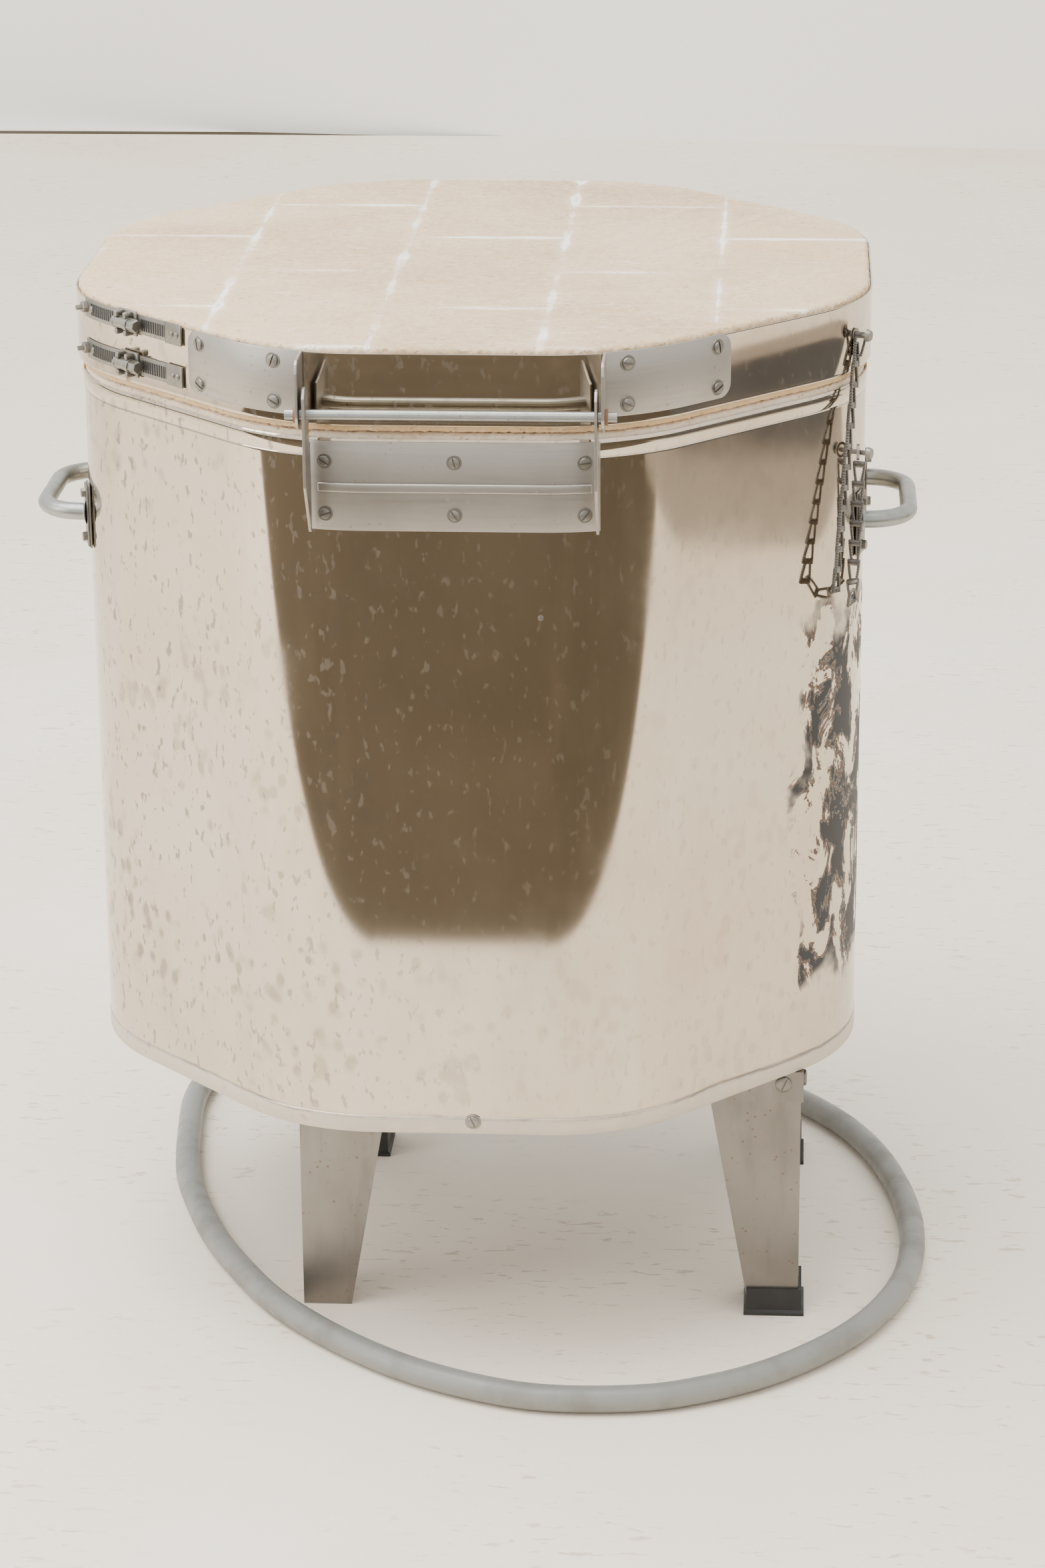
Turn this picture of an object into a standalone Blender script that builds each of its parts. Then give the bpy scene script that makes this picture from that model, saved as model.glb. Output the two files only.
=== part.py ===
"""A top-loading electric pottery kiln on a four-legged stand.

An octagonal pot of insulating firebrick sits in a bent stainless jacket. A brick lid, held by a
steel band and two screw clamps, swings up on a rod at the near (-Y) side and is held open by a
chain. The control box is on the far (+Y) side. Metres, +Z up, floor at z = 0, and the origin is
under the middle of the whole kiln.
"""
import math

import bmesh
import bpy
from mathutils import Matrix, Vector

# ---------------------------------------------------------------- driving dimensions
FIT = 0.0003                 # gap between pieces that touch
SHEET = 0.001                # jacket, band, pan and box sheet
OCTANT = math.pi / 4         # angle between neighbouring facets
CORNER_STEPS = 4             # straight pieces in each bent corner

JACKET_HALF = 0.281          # kiln axis to the middle of a facet, outside the jacket
CORNER_R = 0.135             # outside bend radius of the jacket's corners
JACKET_Z = 0.197             # underside of the jacket above the floor
FLOOR_T = 0.0585             # floor slab of firebrick
COURSES = 4
COURSE_H = 0.1125            # one course of firebrick
WALL_T = 0.064
RIM_SHOW = 0.004             # brick that stands above the jacket

GROOVE_Z = 0.028             # groove's middle above the course's underside
GROOVE_H = 0.014
GROOVE_D = 0.014
ELEMENT_R = 0.0045           # outside radius of the wound element

LID_GAP = 0.0012             # closed lid above the brick rim
LID_T = 0.0575
LID_OVERHANG = 0.0028        # band outside the jacket
BAND_TOP_DROP = 0.0025       # band's upper edge below the lid's top
BAND_H = 0.050

HINGE_SIDE_SHIFT = 0.002     # the hinge sits a little right of the middle
HINGE_OUT = 0.0172           # rod's axis outside the lid band
HINGE_DROP = 0.041           # rod's axis below the lid's top
ROD_R = 0.0035
ROD_FLOAT = 0.008            # rise of the rod in the slotted ears
EAR_PITCH = 0.194            # middle to middle of the two fixed ears
EAR_T = 0.002
EAR_REACH = 0.012            # ear in front of the rod's axis
FIXED_EAR_TOP = 0.0195       # ear's tip above the rod's axis
BRACKET_H = 0.062
BRACKET_DROP = 0.0015        # bracket's top edge below the jacket's
BRACKET_T = 0.0015
BEAD_DROP = 0.032            # stiffening bead below the bracket's top edge
BEAD_R = 0.0034
LID_EAR_GAP = 0.0025         # between a fixed ear and the lid's ear
LID_PLATE_DROP = 0.0025      # hinge plate's top edge below the lid's top
LID_PLATE_H = 0.0445
LID_PLATE_RUN = 0.098        # length of a lid hinge plate round the corner
LID_EAR_LOW = 0.010          # lid ear below the rod's axis
WASHER_R = 0.0055
WASHER_T = 0.0018
ROD_PROUD = 0.006            # rod beyond each washer

STRAP_H = 0.015
STRAP_T = 0.001
STRAP_START = -(EAR_PITCH / 2 + 0.2335)   # along the lid's skin from the middle of the near facet
STRAP_RUN = 0.127
UPPER_STRAP_DROP = 0.0092    # strap's middle below the lid's top
LOWER_STRAP_DROP = 0.0385
CLAMP_SCREW_RUN = 0.057      # screw head's inner end, back from the strap's right end
CLAMP_HOUSING_L = 0.020
CLAMP_HOUSING_H = 0.0175
CLAMP_HOUSING_T = 0.0032
BARREL_R = 0.0044
BARREL_L = 0.018
BARREL_GAP = 0.0008
HEX_R = 0.0046
HEX_L = 0.009

HANDLE_TUBE_R = 0.00625
HANDLE_REACH = 0.0322        # tube's middle outside the jacket
HANDLE_SPAN = 0.115
HANDLE_BACK = 0.0375         # handle's middle towards the hinge side
HANDLE_Z_DROP = 0.105        # below the jacket's top
HANDLE_BEND_R = 0.022
HANDLE_PLATE_W = 0.022
HANDLE_PLATE_H = 0.045
HANDLE_PLATE_T = 0.002

STAND_LEFT = -0.129          # left legs' outer faces, from the kiln's axis
STAND_NEAR = -0.158          # near legs' outer faces
STAND_W = 0.371              # the kiln isn't in the stand's middle
STAND_D = 0.308
LEG_TOP_W = 0.070
LEG_FOOT_W = 0.036
LEG_T = 0.002
SHOE_T = 0.0015              # sheet of the stand frame's corner shoes
SHOE_DROP = 0.024            # how far the shoes reach down over the legs
SHOE_W = 0.066
BRACE_W = 0.030
BRACE_T = 0.005
BOOT_SOLE = 0.004
BOOT_H = 0.021
BOOT_W = 0.041
BOOT_FLARE = 0.002
BOOT_WALL = 0.0025

BOX_W = 0.240                # control box
BOX_H = 0.330
BOX_D = 0.080
BOX_DROP = 0.095             # box's top below the jacket's top
BOX_SHEET = 0.0012
KNOB_R = 0.019
KNOB_H = 0.020
KNOB_PITCH = 0.075
KNOB_COUNT = 3
LAMP_R = 0.0075
LAMP_H = 0.008
GLAND_X = -0.060
GLAND_L = 0.036
GLAND_R = 0.018

PEEP_R = 0.014
PEEP_RISE = 0.075            # above its course's underside
PLUG_CLEAR = 0.0008
PLUG_HEAD_R = 0.019
PLUG_HEAD_L = 0.014
PLUG_TAPER = 0.0025

LID_HANDLE_SPAN = 0.110
LID_HANDLE_REACH = 0.034
LID_HANDLE_BEND_R = 0.018
LID_HANDLE_TUBE_R = 0.005
LID_HANDLE_DROP = 0.030      # below the lid's top

ANCHOR_ANGLE = math.radians(-25)   # outward direction of both chain anchors
ANCHOR_SHANK_R = 0.0018
ANCHOR_HEAD_R = 0.0046
ANCHOR_HEAD_T = 0.003
BODY_ANCHOR_L = 0.0145       # shank's length outside the jacket
LID_ANCHOR_L = 0.009
BODY_ANCHOR_DROP = 0.0487    # below the jacket's top
LID_ANCHOR_DROP = 0.027      # below the lid's top
CHAIN_OUT = 0.007            # chain's plane outside the jacket at the anchors
EYE_R = 0.005
EYE_WIRE_R = 0.001
EYE_DROP = 0.0082            # first link below the shank
LINK_PITCH = 0.0144
LINK_W = 0.008
LINK_T = 0.003
LINK_END = 0.0022            # bar's end short of its pivot
# links in each stiff run of the chain, and its lean from straight down, at rest
CHAIN_RUNS = [(6, 0.0), (1, 52.2), (2, 116.0), (12, 192.47)]

CABLE_R = 0.010
CABLE_STEP = 0.045           # distance between the tube's points
# the cable's middle from its gland to its plug, measured from the kiln's axis
CABLE_ROUTE = [(-0.060, 0.3213, 0.2424), (-0.060, 0.3213, 0.2100), (-0.064, 0.3260, 0.1500),
               (-0.078, 0.3310, 0.0900), (-0.110, 0.3370, 0.0400), (-0.160, 0.3360, 0.0150),
               (-0.212, 0.3140, 0.0103), (-0.246, 0.2680, 0.0103), (-0.259, 0.2050, 0.0103),
               (-0.255, 0.1300, 0.0103), (-0.245, 0.0500, 0.0103), (-0.228, -0.0120, 0.0103),
               (-0.206, -0.0720, 0.0103), (-0.180, -0.1240, 0.0103), (-0.150, -0.1740, 0.0103),
               (-0.119, -0.2120, 0.0103), (-0.080, -0.2500, 0.0103), (-0.036, -0.2830, 0.0103),
               (0.017, -0.3090, 0.0103), (0.067, -0.3210, 0.0103), (0.133, -0.3170, 0.0103),
               (0.183, -0.2980, 0.0103), (0.227, -0.2690, 0.0103), (0.269, -0.2260, 0.0103),
               (0.300, -0.1770, 0.0103), (0.322, -0.1170, 0.0103), (0.330, -0.0460, 0.0103),
               (0.325, 0.0260, 0.0103), (0.309, 0.0970, 0.0103), (0.287, 0.1520, 0.0103),
               (0.262, 0.1920, 0.0103), (0.232, 0.2280, 0.0103), (0.201, 0.2610, 0.0110),
               (0.175, 0.2880, 0.0150), (0.149, 0.3130, 0.0250), (0.121, 0.3340, 0.0316),
               (0.090, 0.3540, 0.0316)]
PLUG_BODY_R = 0.031
PLUG_BODY_L = 0.070
PLUG_SHROUD_L = 0.042
PLUG_SHROUD_T = 0.003
PLUG_TAIL_L = 0.045
PIN_R = 0.003
PIN_L = 0.026
PIN_RING_R = 0.0155
PIN_COUNT = 5

# ---------------------------------------------------------------- places that follow from them
FLOOR_Z = JACKET_Z + SHEET + FIT
WALL_Z = FLOOR_Z + FLOOR_T + FIT
COURSE_STEP = COURSE_H + FIT
RIM_Z = WALL_Z + COURSES * COURSE_STEP - FIT
JACKET_TOP = RIM_Z - RIM_SHOW
LID_Z = RIM_Z + LID_GAP
LID_TOP = LID_Z + LID_T
BRICK_HALF = JACKET_HALF - SHEET - FIT
BRICK_R = CORNER_R - SHEET - FIT
LID_HALF = JACKET_HALF + LID_OVERHANG
HINGE_Y = -(LID_HALF + HINGE_OUT)
HINGE_Z = LID_TOP - HINGE_DROP
BOX_Y = JACKET_HALF + FIT
COVER_Y = BOX_Y + BOX_D + FIT
BOX_Z = JACKET_TOP - BOX_DROP - BOX_H
NEAR_REACH = -HINGE_Y + EAR_REACH
FAR_REACH = COVER_Y + BOX_SHEET + FIT + KNOB_H
AXIS_Y = (NEAR_REACH - FAR_REACH) / 2    # kiln's axis, measured from the origin


# ---------------------------------------------------------------- helpers
def clear_scene():
    """Start from an empty scene."""
    for old in list(bpy.data.objects):
        bpy.data.objects.remove(old, do_unlink=True)


def finish(name, colour, roughness, metallic=0.0):
    """A plain material of one colour."""
    material = bpy.data.materials.new(name)
    material.use_nodes = True
    shader = material.node_tree.nodes["Principled BSDF"]
    shader.inputs["Base Color"].default_value = (*colour, 1.0)
    shader.inputs["Roughness"].default_value = roughness
    shader.inputs["Metallic"].default_value = metallic
    material.diffuse_color = (*colour, 1.0)
    return material


def pivot(name, place):
    """An empty on a joint's axis, placed from the kiln's axis."""
    empty = bpy.data.objects.new(name, None)
    empty.location = (place[0], place[1] + AXIS_Y, place[2])
    bpy.context.scene.collection.objects.link(empty)
    return empty


def place(name, bm, material, origin=(0.0, 0.0, 0.0), parent=None):
    """Make an object of a mesh drawn from the kiln's axis, with its origin at `origin`."""
    bmesh.ops.recalc_face_normals(bm, faces=bm.faces)
    if bm.calc_volume(signed=True) < 0:
        bmesh.ops.reverse_faces(bm, faces=bm.faces)
    bmesh.ops.translate(bm, verts=bm.verts, vec=-Vector(origin))
    mesh = bpy.data.meshes.new(name)
    bm.to_mesh(mesh)
    bm.free()
    mesh.materials.append(material)
    mesh.shade_smooth()
    mesh.set_sharp_from_angle(angle=math.radians(35))
    obj = bpy.data.objects.new(name, mesh)
    obj.location = (origin[0], origin[1] + AXIS_Y, origin[2])
    bpy.context.scene.collection.objects.link(obj)
    if parent is not None:
        obj.parent = parent
        obj.matrix_parent_inverse = Matrix.Translation(parent.location).inverted()
    return obj


def guide(name, bm):
    """A hidden solid that shapes another by a Boolean."""
    obj = place(name, bm, MATERIALS["steel"])
    obj.hide_render = True
    obj.display_type = "WIRE"
    return obj


def boolean(obj, tool, operation):
    """Cut or join `tool` on `obj`."""
    modifier = obj.modifiers.new(operation.lower(), "BOOLEAN")
    modifier.operation = operation
    modifier.solver = "EXACT"
    modifier.use_hole_tolerant = True
    modifier.object = tool


def skin_point(half, corner_r, run, out=0.0):
    """A point `run` along the octagonal skin from the near facet's middle, and its direction."""
    flat = (half - corner_r) * math.tan(OCTANT / 2)
    facet = round(run / (2 * flat + corner_r * OCTANT))
    rest = run - facet * (2 * flat + corner_r * OCTANT)
    along = max(-flat, min(flat, rest))
    facing = -math.pi / 2 + facet * OCTANT
    normal = facing + (rest - along) / corner_r
    x = (half - corner_r) * math.cos(facing) - along * math.sin(facing)
    y = (half - corner_r) * math.sin(facing) + along * math.cos(facing)
    x += (corner_r + out) * math.cos(normal)
    y += (corner_r + out) * math.sin(normal)
    return x, y, normal


def run_of_angle(half, corner_r, direction):
    """How far along the skin its outward direction first turns to `direction`, past the near facet."""
    flat = (half - corner_r) * math.tan(OCTANT / 2)
    turned = direction + math.pi / 2
    return flat + corner_r * turned + 2 * flat * math.floor(turned / OCTANT)


def octagon(half, corner_r):
    """The outline of an octagon with bent corners, anticlockwise."""
    flat = (half - corner_r) * math.tan(OCTANT / 2)
    pitch = 2 * flat + corner_r * OCTANT
    points = []
    for facet in range(8):
        for step in range(CORNER_STEPS + 1):
            run = facet * pitch + flat + corner_r * OCTANT * step / CORNER_STEPS
            points.append(skin_point(half, corner_r, run)[:2])
    return points


def skin_over(bm, rings, closed=False):
    """Join rings of as many vertices each into a wall, closed on itself or capped at both ends."""
    following = rings[1:] + rings[:1] if closed else rings[1:]
    for ring, after in zip(rings, following):
        for a, b, c, d in zip(ring, ring[1:] + ring[:1], after[1:] + after[:1], after):
            bm.faces.new((a, b, c, d))
    if not closed:
        bm.faces.new(rings[0])
        bm.faces.new(rings[-1])


def prism(outline, low, high):
    """The outline as a face, extruded upwards."""
    bm = bmesh.new()
    face = bm.faces.new([bm.verts.new((x, y, low)) for x, y in outline])
    top = bmesh.ops.extrude_face_region(bm, geom=[face])["geom"]
    moved = [v for v in top if isinstance(v, bmesh.types.BMVert)]
    bmesh.ops.translate(bm, verts=moved, vec=(0, 0, high - low))
    return bm


def hoop(profile):
    """A solid ring: each profile point (half, corner radius, height) makes one of its edges."""
    bm = bmesh.new()
    rings = [[bm.verts.new((x, y, z)) for x, y in octagon(half, corner_r)]
             for half, corner_r, z in profile]
    skin_over(bm, rings, closed=True)
    return bm


def strip(half, start, run, low, high, inner, outer, steps=10):
    """A plate that follows the skin, between two offsets from it."""
    runs = [start + run * i / steps for i in range(steps + 1)]
    outside = [skin_point(half, CORNER_R, r, outer)[:2] for r in runs]
    inside = [skin_point(half, CORNER_R, r, inner)[:2] for r in reversed(runs)]
    return prism(outside + inside, low, high)


def box(low, high):
    """A block between two corners."""
    bm = bmesh.new()
    bmesh.ops.create_cube(bm, size=1.0)
    size = [h - l for l, h in zip(low, high)]
    bmesh.ops.scale(bm, verts=bm.verts, vec=size)
    bmesh.ops.translate(bm, verts=bm.verts, vec=[(l + h) / 2 for l, h in zip(low, high)])
    return bm


def aim(start, direction):
    """A matrix that takes +Z at the origin to `direction` at `start`."""
    turn = Vector((0, 0, 1)).rotation_difference(Vector(direction)).to_matrix().to_4x4()
    return Matrix.Translation(start) @ turn


def turned(profile, start, direction, sides=24):
    """A turned solid: (radius, height) points from the axis out and back, spun about `direction`."""
    bm = bmesh.new()
    verts = [bm.verts.new((radius, 0, height)) for radius, height in profile]
    edges = [bm.edges.new(pair) for pair in zip(verts, verts[1:])]
    bmesh.ops.spin(bm, geom=verts + edges, cent=(0, 0, 0), axis=(0, 0, 1), angle=2 * math.pi,
                   steps=sides, use_merge=True)
    bmesh.ops.remove_doubles(bm, verts=bm.verts, dist=0.00001)
    bmesh.ops.transform(bm, matrix=aim(start, direction), verts=bm.verts)
    return bm


def tube(points, radius, flat, sides=10):
    """A round bar along a path that lies square to `flat`, with flat ends."""
    bm = bmesh.new()
    points = [Vector(p) for p in points]
    rings = []
    for i, point in enumerate(points):
        way = (points[min(i + 1, len(points) - 1)] - points[max(i - 1, 0)]).normalized()
        sideways = way.cross(flat).normalized()
        angles = [math.tau * step / sides for step in range(sides)]
        rings.append([bm.verts.new(point + radius * (sideways * math.cos(a) + flat * math.sin(a)))
                      for a in angles])
    skin_over(bm, rings)
    return bm


def rounded_u(start, end, side, reach, bend_r, steps=5):
    """The path of a U-shaped bar: out from `start`, across with two bends, and back to `end`."""
    start, end, side = Vector(start), Vector(end), Vector(side).normalized()
    across = (end - start).normalized()
    path = [start]
    for corner, first, second in ((start + side * reach, -side, across),
                                  (end + side * reach, -across, -side)):
        centre = corner + (first + second) * bend_r
        for step in range(steps + 1):
            angle = math.pi / 2 * step / steps
            path.append(centre - second * bend_r * math.cos(angle) - first * bend_r * math.sin(angle))
    return path + [end]


def smooth_path(route, step):
    """Points about `step` apart on the smooth curve through the route's points."""
    pts = [Vector(p) for p in route]
    pts = [2 * pts[0] - pts[1]] + pts + [2 * pts[-1] - pts[-2]]
    fine = []
    for p0, p1, p2, p3 in zip(pts, pts[1:], pts[2:], pts[3:]):
        for i in range(20):
            t = i / 20
            fine.append(0.5 * (2 * p1 + (p2 - p0) * t + (2 * p0 - 5 * p1 + 4 * p2 - p3) * t ** 2
                               + (3 * p1 - p0 - 3 * p2 + p3) * t ** 3))
    fine.append(pts[-2])
    length = sum((b - a).length for a, b in zip(fine, fine[1:]))
    count = round(length / step)
    picked, walked, wanted = [fine[0]], 0.0, length / count
    for a, b in zip(fine, fine[1:]):
        walked += (b - a).length
        if walked >= wanted * len(picked) and len(picked) < count:
            picked.append(b)
    return picked + [fine[-1]]


clear_scene()
MATERIALS = {
    "firebrick": finish("firebrick", (0.80, 0.70, 0.56), 0.95),
    "stainless": finish("stainless", (0.62, 0.59, 0.54), 0.14, 1.0),
    "satin": finish("satin_aluminium", (0.60, 0.59, 0.57), 0.38, 1.0),
    "steel": finish("zinc_steel", (0.55, 0.55, 0.54), 0.35, 1.0),
    "rust": finish("rusty_steel", (0.30, 0.14, 0.07), 0.80, 0.3),
    "leg": finish("leg_steel", (0.50, 0.48, 0.46), 0.25, 1.0),
    "element": finish("element_wire", (0.20, 0.19, 0.18), 0.60, 0.9),
    "rubber": finish("black_rubber", (0.02, 0.02, 0.02), 0.70),
    "grey_paint": finish("grey_paint", (0.42, 0.44, 0.45), 0.45),
    "black_plastic": finish("black_plastic", (0.03, 0.03, 0.03), 0.40),
    "lamp": finish("red_lamp", (0.60, 0.03, 0.02), 0.15),
    "ceramic": finish("plug_ceramic", (0.78, 0.72, 0.62), 0.80),
    "cable": finish("grey_cable", (0.45, 0.46, 0.46), 0.45),
    "brass": finish("brass", (0.72, 0.55, 0.26), 0.30, 1.0),
}

# ---------------------------------------------------------------- pot: pan, bricks, elements, jacket
place("base_pan", prism(octagon(BRICK_HALF, BRICK_R), JACKET_Z, JACKET_Z + SHEET), MATERIALS["leg"])
place("floor_slab", prism(octagon(BRICK_HALF, BRICK_R), FLOOR_Z, FLOOR_Z + FLOOR_T),
      MATERIALS["firebrick"])

CHAMBER_HALF = BRICK_HALF - WALL_T
CHAMBER_R = 0.004            # the bricks' mitred corners are hardly rounded inside
ELEMENT_HALF = CHAMBER_HALF + GROOVE_D - ELEMENT_R - FIT


def brick_course(level):
    """One mitred course of bricks, cemented into a ring, with the element's groove inside."""
    low = WALL_Z + level * COURSE_STEP
    groove_low = low + GROOVE_Z - GROOVE_H / 2
    groove_high = low + GROOVE_Z + GROOVE_H / 2
    deep = CHAMBER_HALF + GROOVE_D
    bm = hoop([(BRICK_HALF, BRICK_R, low), (BRICK_HALF, BRICK_R, low + COURSE_H),
               (CHAMBER_HALF, CHAMBER_R, low + COURSE_H), (CHAMBER_HALF, CHAMBER_R, groove_high),
               (deep, CHAMBER_R, groove_high), (deep, CHAMBER_R, groove_low),
               (CHAMBER_HALF, CHAMBER_R, groove_low), (CHAMBER_HALF, CHAMBER_R, low)])
    return place(f"brick_course_{level + 1}", bm, MATERIALS["firebrick"])


def heating_element(level):
    """The wound resistance wire, as the round bundle that lies in its groove."""
    height = WALL_Z + level * COURSE_STEP + GROOVE_Z - GROOVE_H / 2 + ELEMENT_R + FIT
    rounds = [math.tau * (i + 0.5) / 6 for i in range(6)]
    bm = hoop([(ELEMENT_HALF + ELEMENT_R * math.cos(a), CHAMBER_R + ELEMENT_R * (1 + math.cos(a)),
                height + ELEMENT_R * math.sin(a)) for a in rounds])
    return place(f"heating_element_{level + 1}", bm, MATERIALS["element"])


courses = [brick_course(level) for level in range(COURSES)]
for level in range(COURSES):
    heating_element(level)

jacket = place("jacket", hoop([(JACKET_HALF, CORNER_R, JACKET_Z), (JACKET_HALF, CORNER_R, JACKET_TOP),
                               (JACKET_HALF - SHEET, CORNER_R - SHEET, JACKET_TOP),
                               (JACKET_HALF - SHEET, CORNER_R - SHEET, JACKET_Z)]),
               MATERIALS["stainless"])

# ---------------------------------------------------------------- peepholes and their plugs
PEEP_DIRECTION = Vector((-1, 1, 0)).normalized()


def peephole(level, name):
    """A round hole through jacket and brick, with a loose tapered plug in it."""
    height = WALL_Z + level * COURSE_STEP + PEEP_RISE
    inside = PEEP_DIRECTION * (CHAMBER_HALF - WALL_T / 4)
    bore = turned([(0, 0), (PEEP_R, 0), (PEEP_R, WALL_T * 2), (0, WALL_T * 2)],
                  (inside.x, inside.y, height), PEEP_DIRECTION)
    bore = guide(f"cutter_{name}", bore)
    boolean(courses[level], bore, "DIFFERENCE")
    boolean(jacket, bore, "DIFFERENCE")
    stem = PEEP_R - PLUG_CLEAR
    tip = stem - PLUG_TAPER
    length = WALL_T + SHEET + 2 * FIT
    bm = turned([(0, 0), (tip, 0), (stem, length), (PLUG_HEAD_R, length),
                 (PLUG_HEAD_R * 0.86, length + PLUG_HEAD_L), (0, length + PLUG_HEAD_L)],
                (0, 0, 0), PEEP_DIRECTION)
    seat = PEEP_DIRECTION * CHAMBER_HALF + Vector((0, 0, height))
    bmesh.ops.translate(bm, verts=bm.verts, vec=seat)
    place(name, bm, MATERIALS["ceramic"], origin=seat)


peephole(1, "lower_peephole_plug")
peephole(2, "upper_peephole_plug")

# ---------------------------------------------------------------- hinge bracket on the jacket
rod_low = (0.0, HINGE_Y, HINGE_Z)
bracket_top = JACKET_TOP - BRACKET_DROP


def fixed_ear(side):
    """An upright ear with a slot that the rod can rise in. `side` is -1 (left) or 1."""
    middle = HINGE_SIDE_SHIFT + side * EAR_PITCH / 2
    back = skin_point(JACKET_HALF, CORNER_R, middle, FIT + BRACKET_T / 2)[1]
    front = HINGE_Y - EAR_REACH
    kink = bracket_top - BEAD_DROP + BEAD_R * 2
    foot = bracket_top - BRACKET_H
    shoulder = HINGE_Z + FIXED_EAR_TOP - EAR_REACH / 2
    clear = HINGE_Y + EAR_REACH
    outline = [(back, foot), (back - BRACKET_T, foot), (front, kink), (front, shoulder),
               (HINGE_Y - EAR_REACH / 2, HINGE_Z + FIXED_EAR_TOP),
               (HINGE_Y + EAR_REACH / 4, HINGE_Z + FIXED_EAR_TOP),
               (clear, shoulder), (clear, bracket_top), (back, bracket_top)]
    bm = prism(outline, -EAR_T / 2, EAR_T / 2)
    upright = Matrix(((0, 0, 1, middle), (1, 0, 0, 0), (0, 1, 0, 0), (0, 0, 0, 1)))
    bmesh.ops.transform(bm, matrix=upright, verts=bm.verts)
    return bm


def slot(middle):
    """The slot's outline swept across an ear: the rod's bore, stretched upwards."""
    bore_r = ROD_R + FIT
    outline = []
    for step in range(13):
        angle = math.pi + math.pi * step / 12
        outline.append((HINGE_Y + bore_r * math.cos(angle), HINGE_Z + bore_r * math.sin(angle)))
    for step in range(13):
        angle = math.pi * step / 12
        outline.append((HINGE_Y + bore_r * math.cos(angle),
                        HINGE_Z + ROD_FLOAT + bore_r * math.sin(angle)))
    bm = prism(outline, -EAR_T * 2, EAR_T * 2)
    upright = Matrix(((0, 0, 1, middle), (1, 0, 0, 0), (0, 1, 0, 0), (0, 0, 0, 1)))
    bmesh.ops.transform(bm, matrix=upright, verts=bm.verts)
    return bm


plate_run = EAR_PITCH + EAR_T
bracket = place("hinge_bracket",
                strip(JACKET_HALF, HINGE_SIDE_SHIFT - plate_run / 2 - FIT, plate_run + 2 * FIT,
                      bracket_top - BRACKET_H, bracket_top, FIT, FIT + BRACKET_T, steps=24),
                MATERIALS["satin"])
for side, word in ((-1, "left"), (1, "right")):
    boolean(bracket, guide(f"guide_{word}_fixed_ear", fixed_ear(side)), "UNION")
    boolean(bracket, guide(f"cutter_{word}_slot", slot(HINGE_SIDE_SHIFT + side * EAR_PITCH / 2)),
            "DIFFERENCE")
bead_run = EAR_PITCH - 4 * EAR_T
bead_z = bracket_top - BEAD_DROP
bead = strip(JACKET_HALF, HINGE_SIDE_SHIFT - bead_run / 2, bead_run, bead_z - BEAD_R, bead_z + BEAD_R,
             FIT + BRACKET_T / 2, FIT + BRACKET_T + BEAD_R / 2, steps=24)
boolean(bracket, guide("guide_bead", bead), "UNION")

# ---------------------------------------------------------------- carrying handles
handle_z = JACKET_TOP - HANDLE_Z_DROP


def plate_on_skin(run, width, height, middle_z, thickness):
    """A small flat plate against the jacket at `run`, with its back FIT away from the skin."""
    x, y, normal = skin_point(JACKET_HALF, CORNER_R, run, 0.0)
    dip = CORNER_R - math.sqrt(CORNER_R ** 2 - (width / 2) ** 2)
    bm = box((-width / 2, FIT - dip / 4, -height / 2), (width / 2, FIT + thickness, height / 2))
    bmesh.ops.translate(bm, verts=bm.verts, vec=(0, 0, middle_z))
    bmesh.ops.rotate(bm, verts=bm.verts, matrix=Matrix.Rotation(normal - math.pi / 2, 3, "Z"))
    bmesh.ops.translate(bm, verts=bm.verts, vec=(x, y, 0))
    return bm


def carrying_handle(side, word):
    """A bent tube across two screwed plates, on the left (-1) or right (1) of the pot."""
    facet_pitch = run_of_angle(JACKET_HALF, CORNER_R, 0.0) - run_of_angle(
        JACKET_HALF, CORNER_R, -OCTANT)
    middle = 2 * facet_pitch - HANDLE_BACK
    near_run, far_run = middle - HANDLE_SPAN / 2, middle + HANDLE_SPAN / 2
    ends = []
    for run in (near_run, far_run):
        x, y, _ = skin_point(JACKET_HALF, CORNER_R, run, FIT + HANDLE_PLATE_T / 2)
        ends.append((x, y, handle_z))
    outer = JACKET_HALF + HANDLE_REACH
    path = rounded_u((ends[0][0], ends[0][1], handle_z), (ends[0][0], ends[1][1], handle_z),
                     (1, 0, 0), outer - ends[0][0], HANDLE_BEND_R)
    path[-1] = Vector(ends[1])
    bm = tube(path, HANDLE_TUBE_R, Vector((0, 0, 1)))
    plates = [plate_on_skin(run, HANDLE_PLATE_W, HANDLE_PLATE_H, handle_z, HANDLE_PLATE_T)
              for run in (near_run, far_run)]
    for piece in [bm] + plates:
        bmesh.ops.scale(piece, verts=piece.verts, vec=(side, 1, 1))
    handle = place(f"{word}_handle", bm, MATERIALS["steel"])
    for number, piece in enumerate(plates):
        boolean(handle, guide(f"guide_{word}_handle_plate_{number}", piece), "UNION")


carrying_handle(-1, "left")
carrying_handle(1, "right")

# ---------------------------------------------------------------- stand: frame, legs and boots
FRAME_TOP = JACKET_Z - FIT
LEG_TOP = FRAME_TOP - BRACE_T - FIT
STAND_RIGHT = STAND_LEFT + STAND_W
STAND_FAR = STAND_NEAR + STAND_D
corners = {"near_left": (STAND_LEFT, STAND_NEAR, 1, 1),
           "near_right": (STAND_RIGHT, STAND_NEAR, -1, 1),
           "far_left": (STAND_LEFT, STAND_FAR, 1, -1),
           "far_right": (STAND_RIGHT, STAND_FAR, -1, -1)}


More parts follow.
